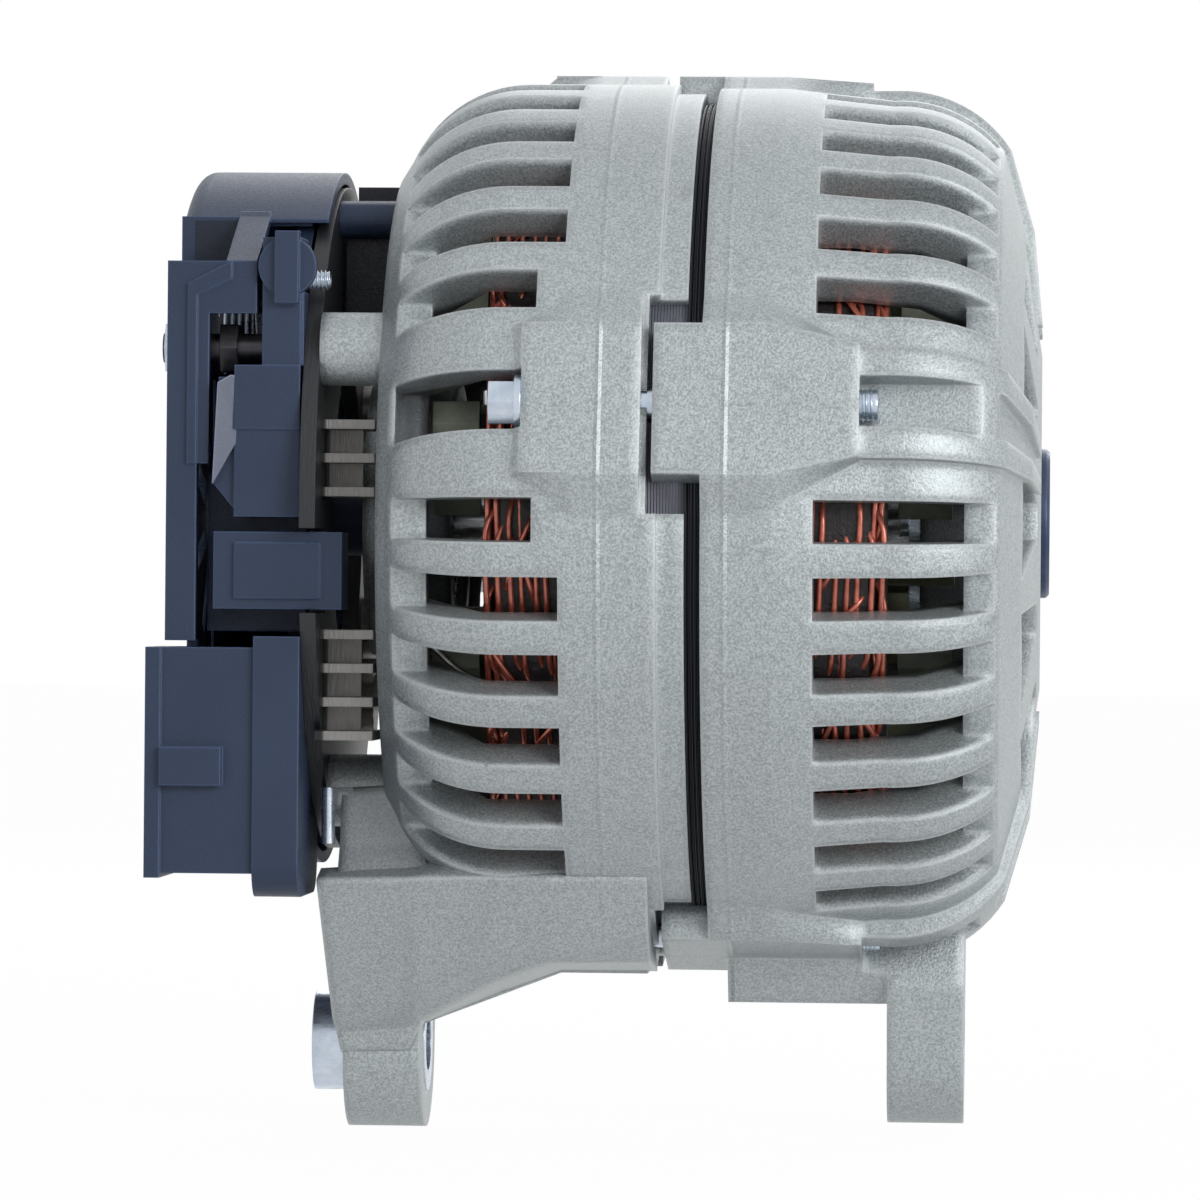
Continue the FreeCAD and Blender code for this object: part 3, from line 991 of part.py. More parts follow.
def fasteners():
    studs = new_body("cover_studs")
    along(studs, "studs", "stud_bolt_rear", "sink_front + stud_depth",
          circles=[(across, up, "stud_bolt_radius") for across, up in list(POSTS.values())[:3]])
    screw = new_body("regulator_screw")
    low = POSTS["low"]
    along(screw, "shank", "flange_rear", "sink_front + stud_depth", circles=[(*low, "stud_bolt_radius")])
    along(screw, "head", "flange_rear - small_head_height", "flange_rear", circles=[(*low,
        "stud_bolt_radius * 1.8")])
    inner = new_body("rectifier_nuts")
    for index, (place, seat) in enumerate(zip(list(POSTS.values())[:3], ("tower_rear", "plus_rear - 0.6",
            "plus_rear - 0.6"))):
        along(inner, f"nut_{index + 1}", f"{seat} - stud_nut_thickness", seat,
              [hexagon(*place, "stud_nut_flats")], circles=[(*place, "stud_bolt_radius + bearing_fit")])
    outer = new_body("cover_nuts")
    for index, place in enumerate(list(POSTS.values())[:3]):
        along(outer, f"nut_{index + 1}", "cover_rear + cover_recess - stud_nut_thickness",
            "cover_rear + cover_recess",
              [hexagon(*place, "stud_nut_flats")], circles=[(*place, "stud_bolt_radius + bearing_fit")])
    battery = new_body("battery_stud")
    place = ("battery_y", "battery_z")
    nut_face = "plus_rear - battery_nut_height"
    along(battery, "thread", "battery_end", nut_face, circles=[(*place, "battery_radius")])
    along(battery, "shank", nut_face, "plus_front", circles=[(*place, "battery_radius - battery_relief")])
    along(battery, "head", "plus_front", "plus_front + battery_head_height", circles=[(*place,
        "battery_head_radius")])
    nut = new_body("battery_nut")
    along(nut, "nut", nut_face, "plus_rear", [hexagon(*place, "battery_nut_flats")],
          circles=[(*place, "battery_radius - battery_relief + bearing_fit")])
    return [studs, screw, inner, outer, battery, nut]


# Plug socket and rear cover
def plug_flange():
    body = new_body("plug_flange")
    sideways_low = "-flange_bottom"
    along(body, "plate", "flange_rear", "sink_rear", [[
        ("-flange_near_y", f"{sideways_low} + flange_corner", "flange_corner"),
        ("-flange_near_y + flange_corner", sideways_low), ("-flange_far_y - flange_corner", sideways_low,
        "flange_corner"),
        ("-flange_far_y", f"{sideways_low} + flange_corner"), ("-flange_far_y", "-flange_top"),
        ("-flange_near_y", "-flange_top")]])
    along(body, "screw_hole", "flange_rear - 1", "sink_rear + 1",
          circles=[(*POSTS["low"], "stud_bolt_radius + 0.1")], cut=True)
    return body


def plug_socket():
    """A moulded socket that opens away from the drive end, with its pins."""
    body = new_body("plug_socket")
    along(body, "shell", "socket_rear", "flange_rear", [rectangle(
        "-socket_near_y", "-socket_bottom", "-socket_far_y", "-socket_top")])
    along(body, "mouth", "socket_rear - 1", "flange_rear - socket_floor", [rectangle(
        "-socket_near_y + socket_wall", "-socket_bottom + socket_wall", "-socket_far_y - socket_wall",
        "-socket_top - socket_wall")], cut=True)
    along(body, "rim_band", "socket_rear", "socket_rear + rim_band_width", [
        rectangle("-socket_near_y - rim_band_height", "-socket_bottom - rim_band_height",
                  "-socket_far_y", "-socket_top"),
        rectangle("-socket_near_y + 0.5", "-socket_bottom + 0.5", "-socket_far_y - 0.5",
        "-socket_top - 0.5")])
    sideways(body, "latch", "socket_near_y + latch_height", "socket_near_y", [[
        ("socket_rear + rim_band_width", "-latch_middle - latch_width / 2"),
        ("socket_rear + latch_length", "-latch_middle - latch_width / 2"),
        ("socket_rear + latch_length", "-latch_middle + latch_width / 2"),
        ("socket_rear + rim_band_width", "-latch_middle + latch_width / 2")]])
    pins = new_body("plug_pins")
    circles = []
    for index in range(int(value("pin_count"))):
        circles.append(("-(socket_near_y + socket_far_y) / 2",
                        f"-latch_middle + pin_pitch * ({index} - (pin_count - 1) / 2)", "pin_radius"))
    along(pins, "pins", "flange_rear - socket_floor - pin_reach", "flange_rear - socket_floor",
        circles=circles)
    return [body, pins]


def rear_cover():
    body = new_body("rear_cover")
    turned(body, "cup", [
        ("cover_rear", "cover_eye"), ("cover_rear + cover_wall", "cover_eye"),
        ("cover_rear + cover_wall", "cover_radius - cover_edge - cover_wall"),
        ("cover_rear + cover_wall + cover_edge", "cover_radius - cover_wall"),
        ("cover_top_front", "cover_radius - cover_wall"), ("cover_top_front", "cover_radius"),
        ("cover_rear + cover_edge", "cover_radius", "cover_edge"), ("cover_rear",
        "cover_radius - cover_edge")])
    along(body, "corner_step", "cover_rear - 1", "cover_top_front + 1", [rectangle(
        "-cover_radius - 1", "cover_ledge", "-cover_panel_y", "cover_radius + 1")], cut=True)
    along(body, "corner_plate", "cover_rear", "cover_rear + cover_wall", [rectangle(
        "-cover_side_y", "cover_ledge / 2", "-cover_panel_y", "cover_ledge")])
    bosses = [(across, up, "cover_boss_radius") for across, up in list(POSTS.values())[:3]]
    along(body, "nut_bosses", "cover_rear", "cover_rear + cover_recess + cover_wall", circles=bosses)
    along(body, "nut_recesses", "cover_rear - 1", "cover_rear + cover_recess",
          circles=[(across, up, "cover_boss_radius - cover_boss_wall") for across, up, _ in bosses], cut=True)
    along(body, "stud_holes", "cover_rear - 1", "cover_rear + cover_recess + cover_wall + 1",
          circles=[(across, up, "stud_bolt_radius + 0.3") for across, up, _ in bosses], cut=True)
    along(body, "battery_opening", "cover_rear - 1", "cover_rear + cover_wall + 1",
          circles=[("battery_y", "battery_z", "battery_opening")], cut=True)
    window = along(body, "air_window", "cover_rear - 1", "cover_rear + cover_wall + 1", [[
        ("-cover_window_width / 2", "cover_window_inner"), ("cover_window_width / 2", "cover_window_inner"),
        ("cover_window_width / 2", "cover_window_outer"), ("-cover_window_width / 2", "cover_window_outer")]],
        cut=True)
    ring_of(body, "air_windows", [window], "cover_windows")
    along(body, "socket_corner_cut", "cover_rear - 2", "cover_top_front + 1", [rectangle(
        "-cover_radius - 1", "-cover_radius - 1", "-flange_far_y + cap_gap", "-cover_bottom")], cut=True)
    along(body, "side_opening", "cover_rear - 1", "cover_top_front + 1", [rectangle(
        "-cover_radius - 1", "-cover_bottom - 1", "-cover_side_y", "cover_ledge + 1")], cut=True)
    along(body, "side_window", "cover_rear + cover_wall", "cover_top_front + 1", [rectangle(
        "-cover_radius - 1", "-cover_bottom - 1", "-cover_cut_y", "cover_side_top")], cut=True)
    ledge_inside = "cover_ledge - cover_side_wall"
    side_inside = "-cover_side_y + cover_side_wall"
    panel_inside = "-cover_panel_y + cover_side_wall"
    along(body, "corner_ledge", "cover_rear", "cover_panel_x", [[
        ("-cover_side_y", "strut_low"), (side_inside, "strut_low"), (side_inside, ledge_inside),
        (panel_inside, ledge_inside), (panel_inside, "cover_side_top + 1"),
        ("-cover_panel_y", "cover_side_top + 1"), ("-cover_panel_y", "cover_ledge"),
        ("-cover_side_y", "cover_ledge")]])
    sideways(body, "side_wall", "cover_side_y", "cover_side_y - cover_side_wall", [[
        ("cover_rear", "-cover_bottom"), ("cover_low_x", "-cover_bottom"), ("cover_low_x", "cover_step"),
        ("cover_side_x", "cover_step"), ("cover_side_x", "cover_ledge"), ("cover_rear", "cover_ledge")]])
    sideways(body, "side_ridge", "cover_side_y + cover_ridge_height", "cover_side_y - 0.5", [[
        ("cover_low_x - cover_ridge_width", "cover_step"), ("cover_low_x", "cover_step"),
        ("cover_low_x", "strut_low + 3"), ("cover_panel_x", "cover_ledge - 3"), ("cover_panel_x",
        "cover_ledge"),
        ("cover_low_x - cover_ridge_width", "strut_low + 5")]])
    along(body, "strut", "cover_panel_x - 1", "strut_front", [[
        ("-cover_side_y", "strut_low"), (side_inside, "strut_low"), (side_inside, ledge_inside),
        (panel_inside, "cover_side_top"), (panel_inside, "cover_side_top + 2"),
        ("-cover_panel_y", "cover_side_top + 1"), ("-cover_side_y", "cover_ledge")]])
    along(body, "lower_edge", "cover_front", "cover_top_front + 1", [rectangle(
        "-cover_radius - 1", "-cover_radius - 1", "cover_radius + 1", "cover_side_top")], cut=True)
    return body


def terminal_block():
    """Insulating block on the rear face that carries the stator wires to the diodes."""
    body = new_body("terminal_block")
    for name, inset, low, high in (("base", "0", "terminal_foot", "terminal_low"),
                                   ("middle_step", "terminal_step", "terminal_low - 1", "terminal_middle"),
                                   ("top_step", "2 * terminal_step", "terminal_middle - 1", "terminal_high")):
        along(body, name, f"terminal_rear + {inset} / 2", "rear_face", [rectangle(
            f"-terminal_half_width + {inset}", low, f"terminal_half_width - {inset}", high)])
    along(body, "wire_gaps", "terminal_rear - 1", "rear_face - terminal_base", [
        rectangle("-terminal_half_width + 4.5", "terminal_foot + 3", "-1.5", "terminal_middle - 2"),
        rectangle("1.5", "terminal_foot + 3", "terminal_half_width - 4.5", "terminal_middle - 2")], cut=True)
    return body


# The assembly: each sub-part, in the order in which it is put together
MAKERS = [drive_end_housing, rear_housing, foot_bush, stator_core, stator_winding, through_bolts, rotor_shaft,
          drive_collar, bearings, retainer, claw_poles, coil, fans, slip_rings, brushes, regulator_housing,
          side_cap, negative_heat_sink, positive_heat_sink, diodes, connection_carrier, fasteners,
          plug_flange,
          plug_socket, rear_cover, terminal_block]
parts = []
for maker in MAKERS:
    made = maker()
    document.recompute()
    parts += made if isinstance(made, list) else [made]
document.recompute()

faults = [item.Name for item in document.Objects if "Invalid" in item.State or "Error" in item.State]
faults += [part.Label for part in parts if part.Shape.isNull() or not part.Shape.isValid()]
if faults:
    raise RuntimeError("These objects failed: " + ", ".join(faults))

os.makedirs("parts", exist_ok=True)
for part in parts:
    part.Shape.exportStep(os.path.join("parts", part.Label + ".step"))
    box = part.Shape.BoundBox
    print(f"{part.Label}: {len(part.Shape.Solids)} solids, {part.Shape.Volume:.0f} mm3, "
          f"X {box.XMin:.1f} {box.XMax:.1f} Y {box.YMin:.1f} {box.YMax:.1f} Z {box.ZMin:.1f} {box.ZMax:.1f}")
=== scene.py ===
import math
import random

import bmesh
import bpy
from mathutils import Matrix, Vector
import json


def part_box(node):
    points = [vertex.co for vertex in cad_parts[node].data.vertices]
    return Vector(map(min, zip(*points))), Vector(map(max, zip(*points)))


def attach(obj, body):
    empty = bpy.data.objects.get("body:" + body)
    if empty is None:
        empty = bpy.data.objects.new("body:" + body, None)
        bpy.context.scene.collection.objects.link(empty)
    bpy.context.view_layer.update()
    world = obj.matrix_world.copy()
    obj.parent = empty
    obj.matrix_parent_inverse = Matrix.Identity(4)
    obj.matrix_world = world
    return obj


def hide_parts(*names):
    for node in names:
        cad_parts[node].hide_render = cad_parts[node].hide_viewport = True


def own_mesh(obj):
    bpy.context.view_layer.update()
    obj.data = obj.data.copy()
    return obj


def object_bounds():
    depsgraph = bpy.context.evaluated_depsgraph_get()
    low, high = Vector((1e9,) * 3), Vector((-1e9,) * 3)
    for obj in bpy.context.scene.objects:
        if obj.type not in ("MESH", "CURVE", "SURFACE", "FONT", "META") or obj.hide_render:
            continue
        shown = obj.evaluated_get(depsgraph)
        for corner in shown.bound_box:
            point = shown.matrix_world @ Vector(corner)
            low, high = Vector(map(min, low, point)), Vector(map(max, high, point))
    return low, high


# The looks of a claw-pole alternator head: castings, copper winding heads, zinc plated
# fasteners, moulded electronics parts and a plain studio. Metres, in the frame of the CAD parts.

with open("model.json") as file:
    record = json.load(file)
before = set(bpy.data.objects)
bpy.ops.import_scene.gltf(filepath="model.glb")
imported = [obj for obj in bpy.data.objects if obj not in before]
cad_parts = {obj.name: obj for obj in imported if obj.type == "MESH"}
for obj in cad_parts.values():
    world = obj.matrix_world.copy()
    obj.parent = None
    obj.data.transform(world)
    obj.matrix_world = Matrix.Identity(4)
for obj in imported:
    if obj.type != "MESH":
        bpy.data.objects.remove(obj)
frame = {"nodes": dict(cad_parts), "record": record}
cad_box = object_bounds()
MM = 0.001


# Shader arithmetic
class Wire:
    """A node's output socket that takes part in sums, differences, products and powers."""

    def __init__(self, socket):
        self.socket = socket

    def _maths(self, operation, first, second):
        tree = self.socket.id_data
        node = tree.nodes.new("ShaderNodeMath")
        node.operation = operation
        for place, term in enumerate((first, second)):
            if isinstance(term, Wire):
                tree.links.new(term.socket, node.inputs[place])
            else:
                node.inputs[place].default_value = term
        return Wire(node.outputs[0])

    def __add__(self, other): return self._maths("ADD", self, other)
    def __radd__(self, other): return self._maths("ADD", other, self)
    def __sub__(self, other): return self._maths("SUBTRACT", self, other)
    def __rsub__(self, other): return self._maths("SUBTRACT", other, self)
    def __mul__(self, other): return self._maths("MULTIPLY", self, other)
    def __rmul__(self, other): return self._maths("MULTIPLY", other, self)
    def __truediv__(self, other): return self._maths("DIVIDE", self, other)
    def __pow__(self, other): return self._maths("POWER", self, other)
    def above(self, level): return self._maths("GREATER_THAN", self, level)
    def least(self, other): return self._maths("MINIMUM", self, other)
    def most(self, other): return self._maths("MAXIMUM", self, other)
    def size(self): return self._maths("ABSOLUTE", self, 0)


class Finish:
    """A surface finish: one Principled shader and whatever feeds it."""

    def __init__(self, name, colour, roughness, metallic=0.0, others=()):
        self.material = bpy.data.materials.new(name)
        self.material.use_nodes = True
        self.tree = self.material.node_tree
        self.shader = self.tree.nodes["Principled BSDF"]
        self.shader.inputs["Base Color"].default_value = (*colour, 1)
        self.shader.inputs["Roughness"].default_value = roughness
        self.shader.inputs["Metallic"].default_value = metallic
        for socket, level in others:
            self.shader.inputs[socket].default_value = level
        self.place = self.node("ShaderNodeTexCoord", output="Object")

    def node(self, kind, settings=None, sockets=None, output=0):
        node = self.tree.nodes.new(kind)
        for key, setting in (settings or {}).items():
            setattr(node, key, setting)
        for key, term in (sockets or {}).items():
            if isinstance(term, Wire):
                self.tree.links.new(term.socket, node.inputs[key])
            else:
                node.inputs[key].default_value = term
        return Wire(node.outputs[output])

    def noise(self, scale, detail=3.0, rough=0.5, stretch=(1, 1, 1), shift=(0, 0, 0)):
        place = self.node("ShaderNodeMapping", {}, {
            "Vector": self.place, "Scale": stretch, "Location": shift})
        return self.node("ShaderNodeTexNoise", {}, {
            "Vector": place, "Scale": scale, "Detail": detail, "Roughness": rough})

    def cells(self, scale, feature="F1", output="Distance"):
        return self.node("ShaderNodeTexVoronoi", {"feature": feature}, {"Vector": self.place, "Scale": scale},
                         output)

    def axis(self, letter):
        return self.node("ShaderNodeSeparateXYZ", {}, {"Vector": self.place}, letter)

    def spread(self, wire, low, high, to_low=0.0, to_high=1.0):
        """The wire's range from low to high, stretched to a new range and held at its ends."""
        return self.node("ShaderNodeMapRange", {"clamp": True}, {
            "Value": wire, "From Min": low, "From Max": high, "To Min": to_low, "To Max": to_high})

    def blend(self, mask, first, second):
        node = self.tree.nodes.new("ShaderNodeMix")
        node.data_type = "RGBA"
        for socket, term in ((node.inputs[0], mask), (node.inputs[6], first), (node.inputs[7], second)):
            if isinstance(term, Wire):
                self.tree.links.new(term.socket, socket)
            else:
                socket.default_value = (*term, 1) if isinstance(term, tuple) else term
        return Wire(node.outputs[2])

    def feed(self, socket, wire):
        self.tree.links.new(wire.socket, self.shader.inputs[socket])
        return self

    def edge_highlight(self, radius):
        """0 on flat places, rising towards 1 near an edge: the mask of painted edge highlights."""
        rounded = self.node("ShaderNodeBevel", {"samples": 4}, {"Radius": radius})
        flat = self.node("ShaderNodeNewGeometry", output="Normal")
        return 1 - self.node("ShaderNodeVectorMath", {"operation": "DOT_PRODUCT"},
                             {0: rounded, 1: flat}, "Value")

    def relief(self, height, depth, edge=0.0):
        """Bumps of a depth in metres, over edges rounded by a radius."""
        sockets = {"Height": height, "Distance": depth}
        if edge:
            sockets["Normal"] = self.node("ShaderNodeBevel", {"samples": 6}, {"Radius": edge})
        self.feed("Normal", self.node("ShaderNodeBump", {}, sockets))
        return self


def band(finish, wire, middle, width):
    """1 along a line at a place on an axis, falling to 0 at its sides."""
    return finish.spread((wire - middle).size(), 0.0, width, 1.0, 0.0)


# Finishes
CAST_EDGE = 2.6 * MM
FIN_ROOTS = (-122.4 * MM, -122.0 * MM)
NOTCH_END = (-61.5 * MM, -60.0 * MM)
MOULDING_BLUE = (0.0220, 0.0360, 0.0720)
# The rear cover's recess, coloured dark as painted shade.
COVER_SHADED_RECESS = {"X": (-146.3 * MM, -138.8 * MM), "Y": (-50.5 * MM, -30.0 * MM), "Z": (0.0, 50.3 * MM)}


def cast_aluminium(name, inside_radius, bend_x, bend_slope, end_x, parting_lines=(), shade_share=0.0):
    """Shot-blasted casting: fine sparkle, painted highlights on its edges, and painted shade on its inside
    walls.

    The painted shade inside has one radius as far as a bend along the shaft and narrows beyond it, up to the
    end wall.
    The shade_share is how much of the outside is painted dark for shade."""
    finish = Finish(name, (0.42, 0.44, 0.455), 0.5, 0.5)
    grain = finish.noise(2600, 1.5, 0.6)
    coarse = finish.noise(900, 2, 0.6, shift=(1, 4, 2))
    blotch = finish.noise(38, 4, 0.6)
    dirt = finish.spread(finish.noise(70, 6, 0.7, shift=(3, 1, 7)), 0.62, 0.74)
    pits = finish.spread(finish.noise(520, 3, 0.7, shift=(5, 2, 1)), 0.66, 0.74)
    tone = finish.blend(blotch, (0.355, 0.39, 0.40), (0.47, 0.51, 0.52))
    speck = finish.blend(finish.spread(grain * 0.82 + coarse * 0.18, 0.38, 0.62), (0.23, 0.255, 0.262),
                         (0.66, 0.705, 0.715))
    colour = finish.blend(0.48, tone, speck)
    # Painted highlight: rounded edges are coloured pale for the glint of light on them.
    colour = finish.blend(finish.spread(finish.edge_highlight(CAST_EDGE * 0.5), 0.03, 0.25, 0.0, 0.75), colour,
                          (0.84, 0.88, 0.89))
    colour = finish.blend(dirt * 0.35, colour, (0.20, 0.21, 0.22))
    colour = finish.blend(pits * dirt, colour, (0.09, 0.09, 0.10))
    # Painted shade: a share of the surface is coloured dark for shade.
    colour = finish.blend(shade_share, colour, (0.13, 0.12, 0.13))
    # Painted shade: the inside walls are coloured near-black for the shade inside the housing.
    along_shaft = finish.axis("X")
    radius = (finish.axis("Y") ** 2 + finish.axis("Z") ** 2) ** 0.5
    limit = (inside_radius - ((along_shaft - bend_x) * bend_slope).most(0.0)).most(0.0)
    inside_shade = finish.spread(limit - radius, 0.0, 0.0015)
    short_of_end = 1 - along_shaft.above(end_x) if bend_slope > 0 else along_shaft.above(end_x)
    inside_shade = inside_shade * short_of_end
    finish.feed("Base Color", finish.blend(inside_shade * 0.8, colour, (0.035, 0.037, 0.042)))
    finish.feed("Roughness", finish.spread(grain, 0.3, 0.7, 0.36, 0.52))
    height = grain * 0.65 + coarse * 0.35
    for middle in parting_lines:
        height = height + band(finish, along_shaft, middle, 0.0006) * 1.6
    finish.relief(height, 0.00012, CAST_EDGE)
    return finish.material


def heat_sink_aluminium():
    """Drawn fins on a plate that is lacquered black."""
    finish = Finish("heat_sink_aluminium", (0.40, 0.385, 0.37), 0.45, 0.4)
    drawn = finish.noise(300, 3, 0.6, stretch=(8, 1, 1))
    bare = finish.blend(drawn, (0.26, 0.25, 0.24), (0.42, 0.405, 0.385))
    lacquer = finish.blend(drawn, (0.010, 0.011, 0.014), (0.022, 0.024, 0.030))
    fins = finish.spread(finish.axis("X"), *FIN_ROOTS)
    finish.feed("Base Color", finish.blend(fins, lacquer, bare))
    finish.feed("Metallic", fins * 0.4)
    finish.relief(drawn, 0.0001, 0.0003)
    return finish.material


def black_moulding(name, colour, roughness=0.42, recess=None):
    """Moulded plastic with painted highlights on its edges, and painted shade in a recess given as its range
    on each axis.
    """
    finish = Finish(name, colour, roughness, 0.0, (("Specular IOR Level", 0.36),))
    texture = finish.noise(2600, 2, 0.5)
    cloud = finish.noise(60, 3)
    lighter = tuple(min(1, level * 1.7 + 0.01) for level in colour)
    tone = finish.blend(cloud * 0.6 + texture * 0.3, colour, lighter)
    # Painted highlight: edges are coloured pale for the glint of light on them.
    highlight_pale = tuple(min(1, level * 5 + 0.03) for level in colour)
    tone = finish.blend(finish.spread(finish.edge_highlight(0.0005), 0.05, 0.3, 0.0, 0.8), tone, highlight_pale)
    # Painted shade: the recess is coloured near-black for the shade that falls in it.
    if recess:
        recess_shade = 1.0
        for letter, (low, high) in recess.items():
            place = finish.axis(letter)
            recess_shade = place.above(low) * (1 - place.above(high)) * recess_shade
        tone = finish.blend(recess_shade * 0.7, tone, (0.002, 0.004, 0.009))
    finish.feed("Base Color", tone)
    finish.feed("Roughness", finish.spread(texture, 0.3, 0.7, roughness - 0.06, roughness + 0.12))
    finish.relief(texture, 0.00006, 0.0005)
    return finish.material


def plated_steel(name, light, dark, roughness=0.3, tint_scale=90):
    finish = Finish(name, light, roughness, 0.9)
    cloud = finish.noise(tint_scale, 4, 0.6)
    scratch = finish.noise(900, 2, 0.6, stretch=(0.2, 1, 1))
    finish.feed("Base Color", finish.blend(finish.spread(cloud, 0.35, 0.65), light, dark))
    finish.feed("Roughness", finish.spread(scratch, 0.3, 0.7, roughness - 0.08, roughness + 0.12))
    finish.relief(scratch, 0.00003, 0.0003)
    return finish.material


def laminations():
    finish = Finish("laminated_steel", (0.05, 0.052, 0.06), 0.4, 0.5)
    along_shaft = finish.axis("X")
    sheet = finish.node("ShaderNodeTexWave", {"bands_direction": "X"}, {
        "Vector": finish.place, "Scale": 620.0, "Distortion": 0.0})
    wear = finish.spread(finish.noise(55, 4, 0.6), 0.45, 0.62)
    painted = finish.blend(sheet, (0.010, 0.011, 0.014), (0.055, 0.058, 0.07))
    bare = finish.blend(finish.noise(140, 4), (0.13, 0.12, 0.13), (0.32, 0.34, 0.42))
    notch = finish.spread(along_shaft, *NOTCH_END, 1.0, 0.0)
    finish.feed("Base Color", finish.blend(notch * (0.55 + wear * 0.45), painted, bare))
    finish.relief(sheet, 0.00015)
    return finish.material


def copper_enamel():
    finish = Finish("copper_enamel", (0.5, 0.12, 0.07), 0.27, 0.5, (("Coat Weight", 0.6),))
    cloud = finish.noise(400, 3, 0.6)
    finish.feed("Base Color", finish.blend(finish.spread(cloud, 0.3, 0.7), (0.36, 0.075, 0.045),
                                           (0.70, 0.20, 0.13)))
    finish.relief(cloud, 0.00005)
    return finish.material


# Painted shade: the winding mass under the wire rows is coloured near-black for the shade between the packed
# wires.
def winding_shade_black():
    finish = Finish("winding_shade_black", (0.012, 0.010, 0.012), 0.5)
    lumps = finish.noise(500, 3, 0.6)
    finish.feed("Base Color", finish.blend(lumps, (0.006, 0.005, 0.006), (0.03, 0.022, 0.022)))
    finish.relief(lumps, 0.0004)
    return finish.material


def passivated_sheet(name, dark, light):
    finish = Finish(name, light, 0.4, 0.5)
    cloud = finish.noise(60, 4, 0.6)
    finish.feed("Base Color", finish.blend(finish.spread(cloud, 0.35, 0.65), dark, light))
    finish.relief(finish.noise(700, 2), 0.00004, 0.0003)
    return finish.material


DRIVE_END_BEND = {"bend_x": -22.0 * MM, "bend_slope": 0.62, "end_x": -7.8 * MM}
REAR_BEND = {"bend_x": -94.0 * MM, "bend_slope": -0.55, "end_x": -109.2 * MM}
cast = cast_aluminium("cast_aluminium_drive_end", 67.2 * MM, **DRIVE_END_BEND, parting_lines=(-53.6 * MM,))
cast_rear = cast_aluminium("cast_aluminium_rear", 69.6 * MM, **REAR_BEND, parting_lines=(-74.5 * MM,))
cast_bracket = cast_aluminium("cast_aluminium_bracket", 0.0, **REAR_BEND)
# Painted shade: the root block and its ledge are coloured dark for the shadow under the barrel's shoulder.
cast_shaded = cast_aluminium("cast_aluminium_shaded", 0.0, **REAR_BEND, shade_share=0.5)
FINISHES = {
    "cast_aluminium": cast,
    "heat_sink_aluminium": heat_sink_aluminium(),
    "bearing_steel": plated_steel("ground_steel", (0.66, 0.68, 0.70), (0.52, 0.54, 0.57), 0.22),
    "blued_steel": plated_steel("blued_steel", (0.05, 0.07, 0.13), (0.10, 0.12, 0.18), 0.35),
    "zinc_steel": plated_steel("zinc_plate", (0.62, 0.68, 0.76), (0.45, 0.52, 0.62), 0.26, 160),
    "olive_zinc": passivated_sheet("passivated_sheet", (0.10, 0.115, 0.10), (0.27, 0.27, 0.15)),
    "electrical_steel": laminations(),
    "pole_steel": plated_steel("forged_steel", (0.16, 0.16, 0.17), (0.08, 0.08, 0.085), 0.5),
    "copper": copper_enamel(),
    "black_plastic": black_moulding("black_moulding", MOULDING_BLUE),
    "carbon": black_moulding("pressed_carbon", (0.05, 0.045, 0.045), 0.6),
    "diode_metal": plated_steel("nickel_plate", (0.34, 0.33, 0.30), (0.24, 0.23, 0.22), 0.35),
    "brass_metal": plated_steel("brass_plain", (0.72, 0.55, 0.24), (0.58, 0.42, 0.18), 0.3),
    "seal_rubber": black_moulding("seal_rubber", (0.02, 0.02, 0.021), 0.6),
    "cast_bracket": cast_bracket,
    "cast_shaded": cast_shaded,
    "olive_tips": passivated_sheet("fan_sheet", (0.15, 0.165, 0.13), (0.30, 0.32, 0.25)),
    # Painted sheen: a paler moulding that stands for the glossy reflection on a flat face.
    "sheen_moulding": black_moulding("sheen_moulding", (0.12, 0.135, 0.18)),
}


def dress(node, material):
    for place in frame["nodes"][node].material_slots:
        place.material = material


for part in frame["record"]["subparts"]:
    dress(part["node"], FINISHES[part["material_slot"]])
dress("rear_housing", cast_rear)
dress("stator_winding", winding_shade_black())
# Painted shade: the terminal block is coloured near-black for the shade it sits in between cover and housing.
dress("terminal_block", black_moulding("terminal_moulding_shaded", (0.0045, 0.006, 0.012)))
dress("rear_cover", black_moulding("cover_moulding", MOULDING_BLUE, recess=COVER_SHADED_RECESS))
dark_steel = plated_steel("dark_stud_steel", (0.10, 0.10, 0.115), (0.05, 0.05, 0.055), 0.4)
for node in ("cover_studs", "rectifier_nuts", "battery_stud"):
    dress(node, dark_steel)


# Wires and threads
def piece(name, data, finish, body):
    item = bpy.data.objects.new(name, data)
    bpy.context.collection.objects.link(item)
    data.materials.append(FINISHES[finish])
    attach(item, body)
    return item


def about_shaft(x, radius, angle):
    """A point at an angle from the near side, turned upwards, about the shaft."""
    return Vector((x, -radius * math.cos(angle), radius * math.sin(angle)))


def wires(name, courses, thickness, finish, body):
    """Round wires along courses of points, as one piece."""
    curve = bpy.data.curves.new(name, "CURVE")
    curve.dimensions = "3D"
    curve.bevel_depth = thickness / 2
    curve.bevel_resolution = 2
    curve.use_fill_caps = True
    curve.resolution_u = 3
    for course in courses:
        spline = curve.splines.new("NURBS")
        spline.points.add(len(course) - 1)
        for point, place in zip(spline.points, course):
            point.co = (*place, 1)
        spline.order_u = 4
        spline.use_endpoint_u = True
    return piece(name, curve, finish, body)


WIRE = 1.05 * MM
ROW_PITCH = 2.05 * MM
COILS_ROUND = 12
FIRST_COIL = math.radians(-27)


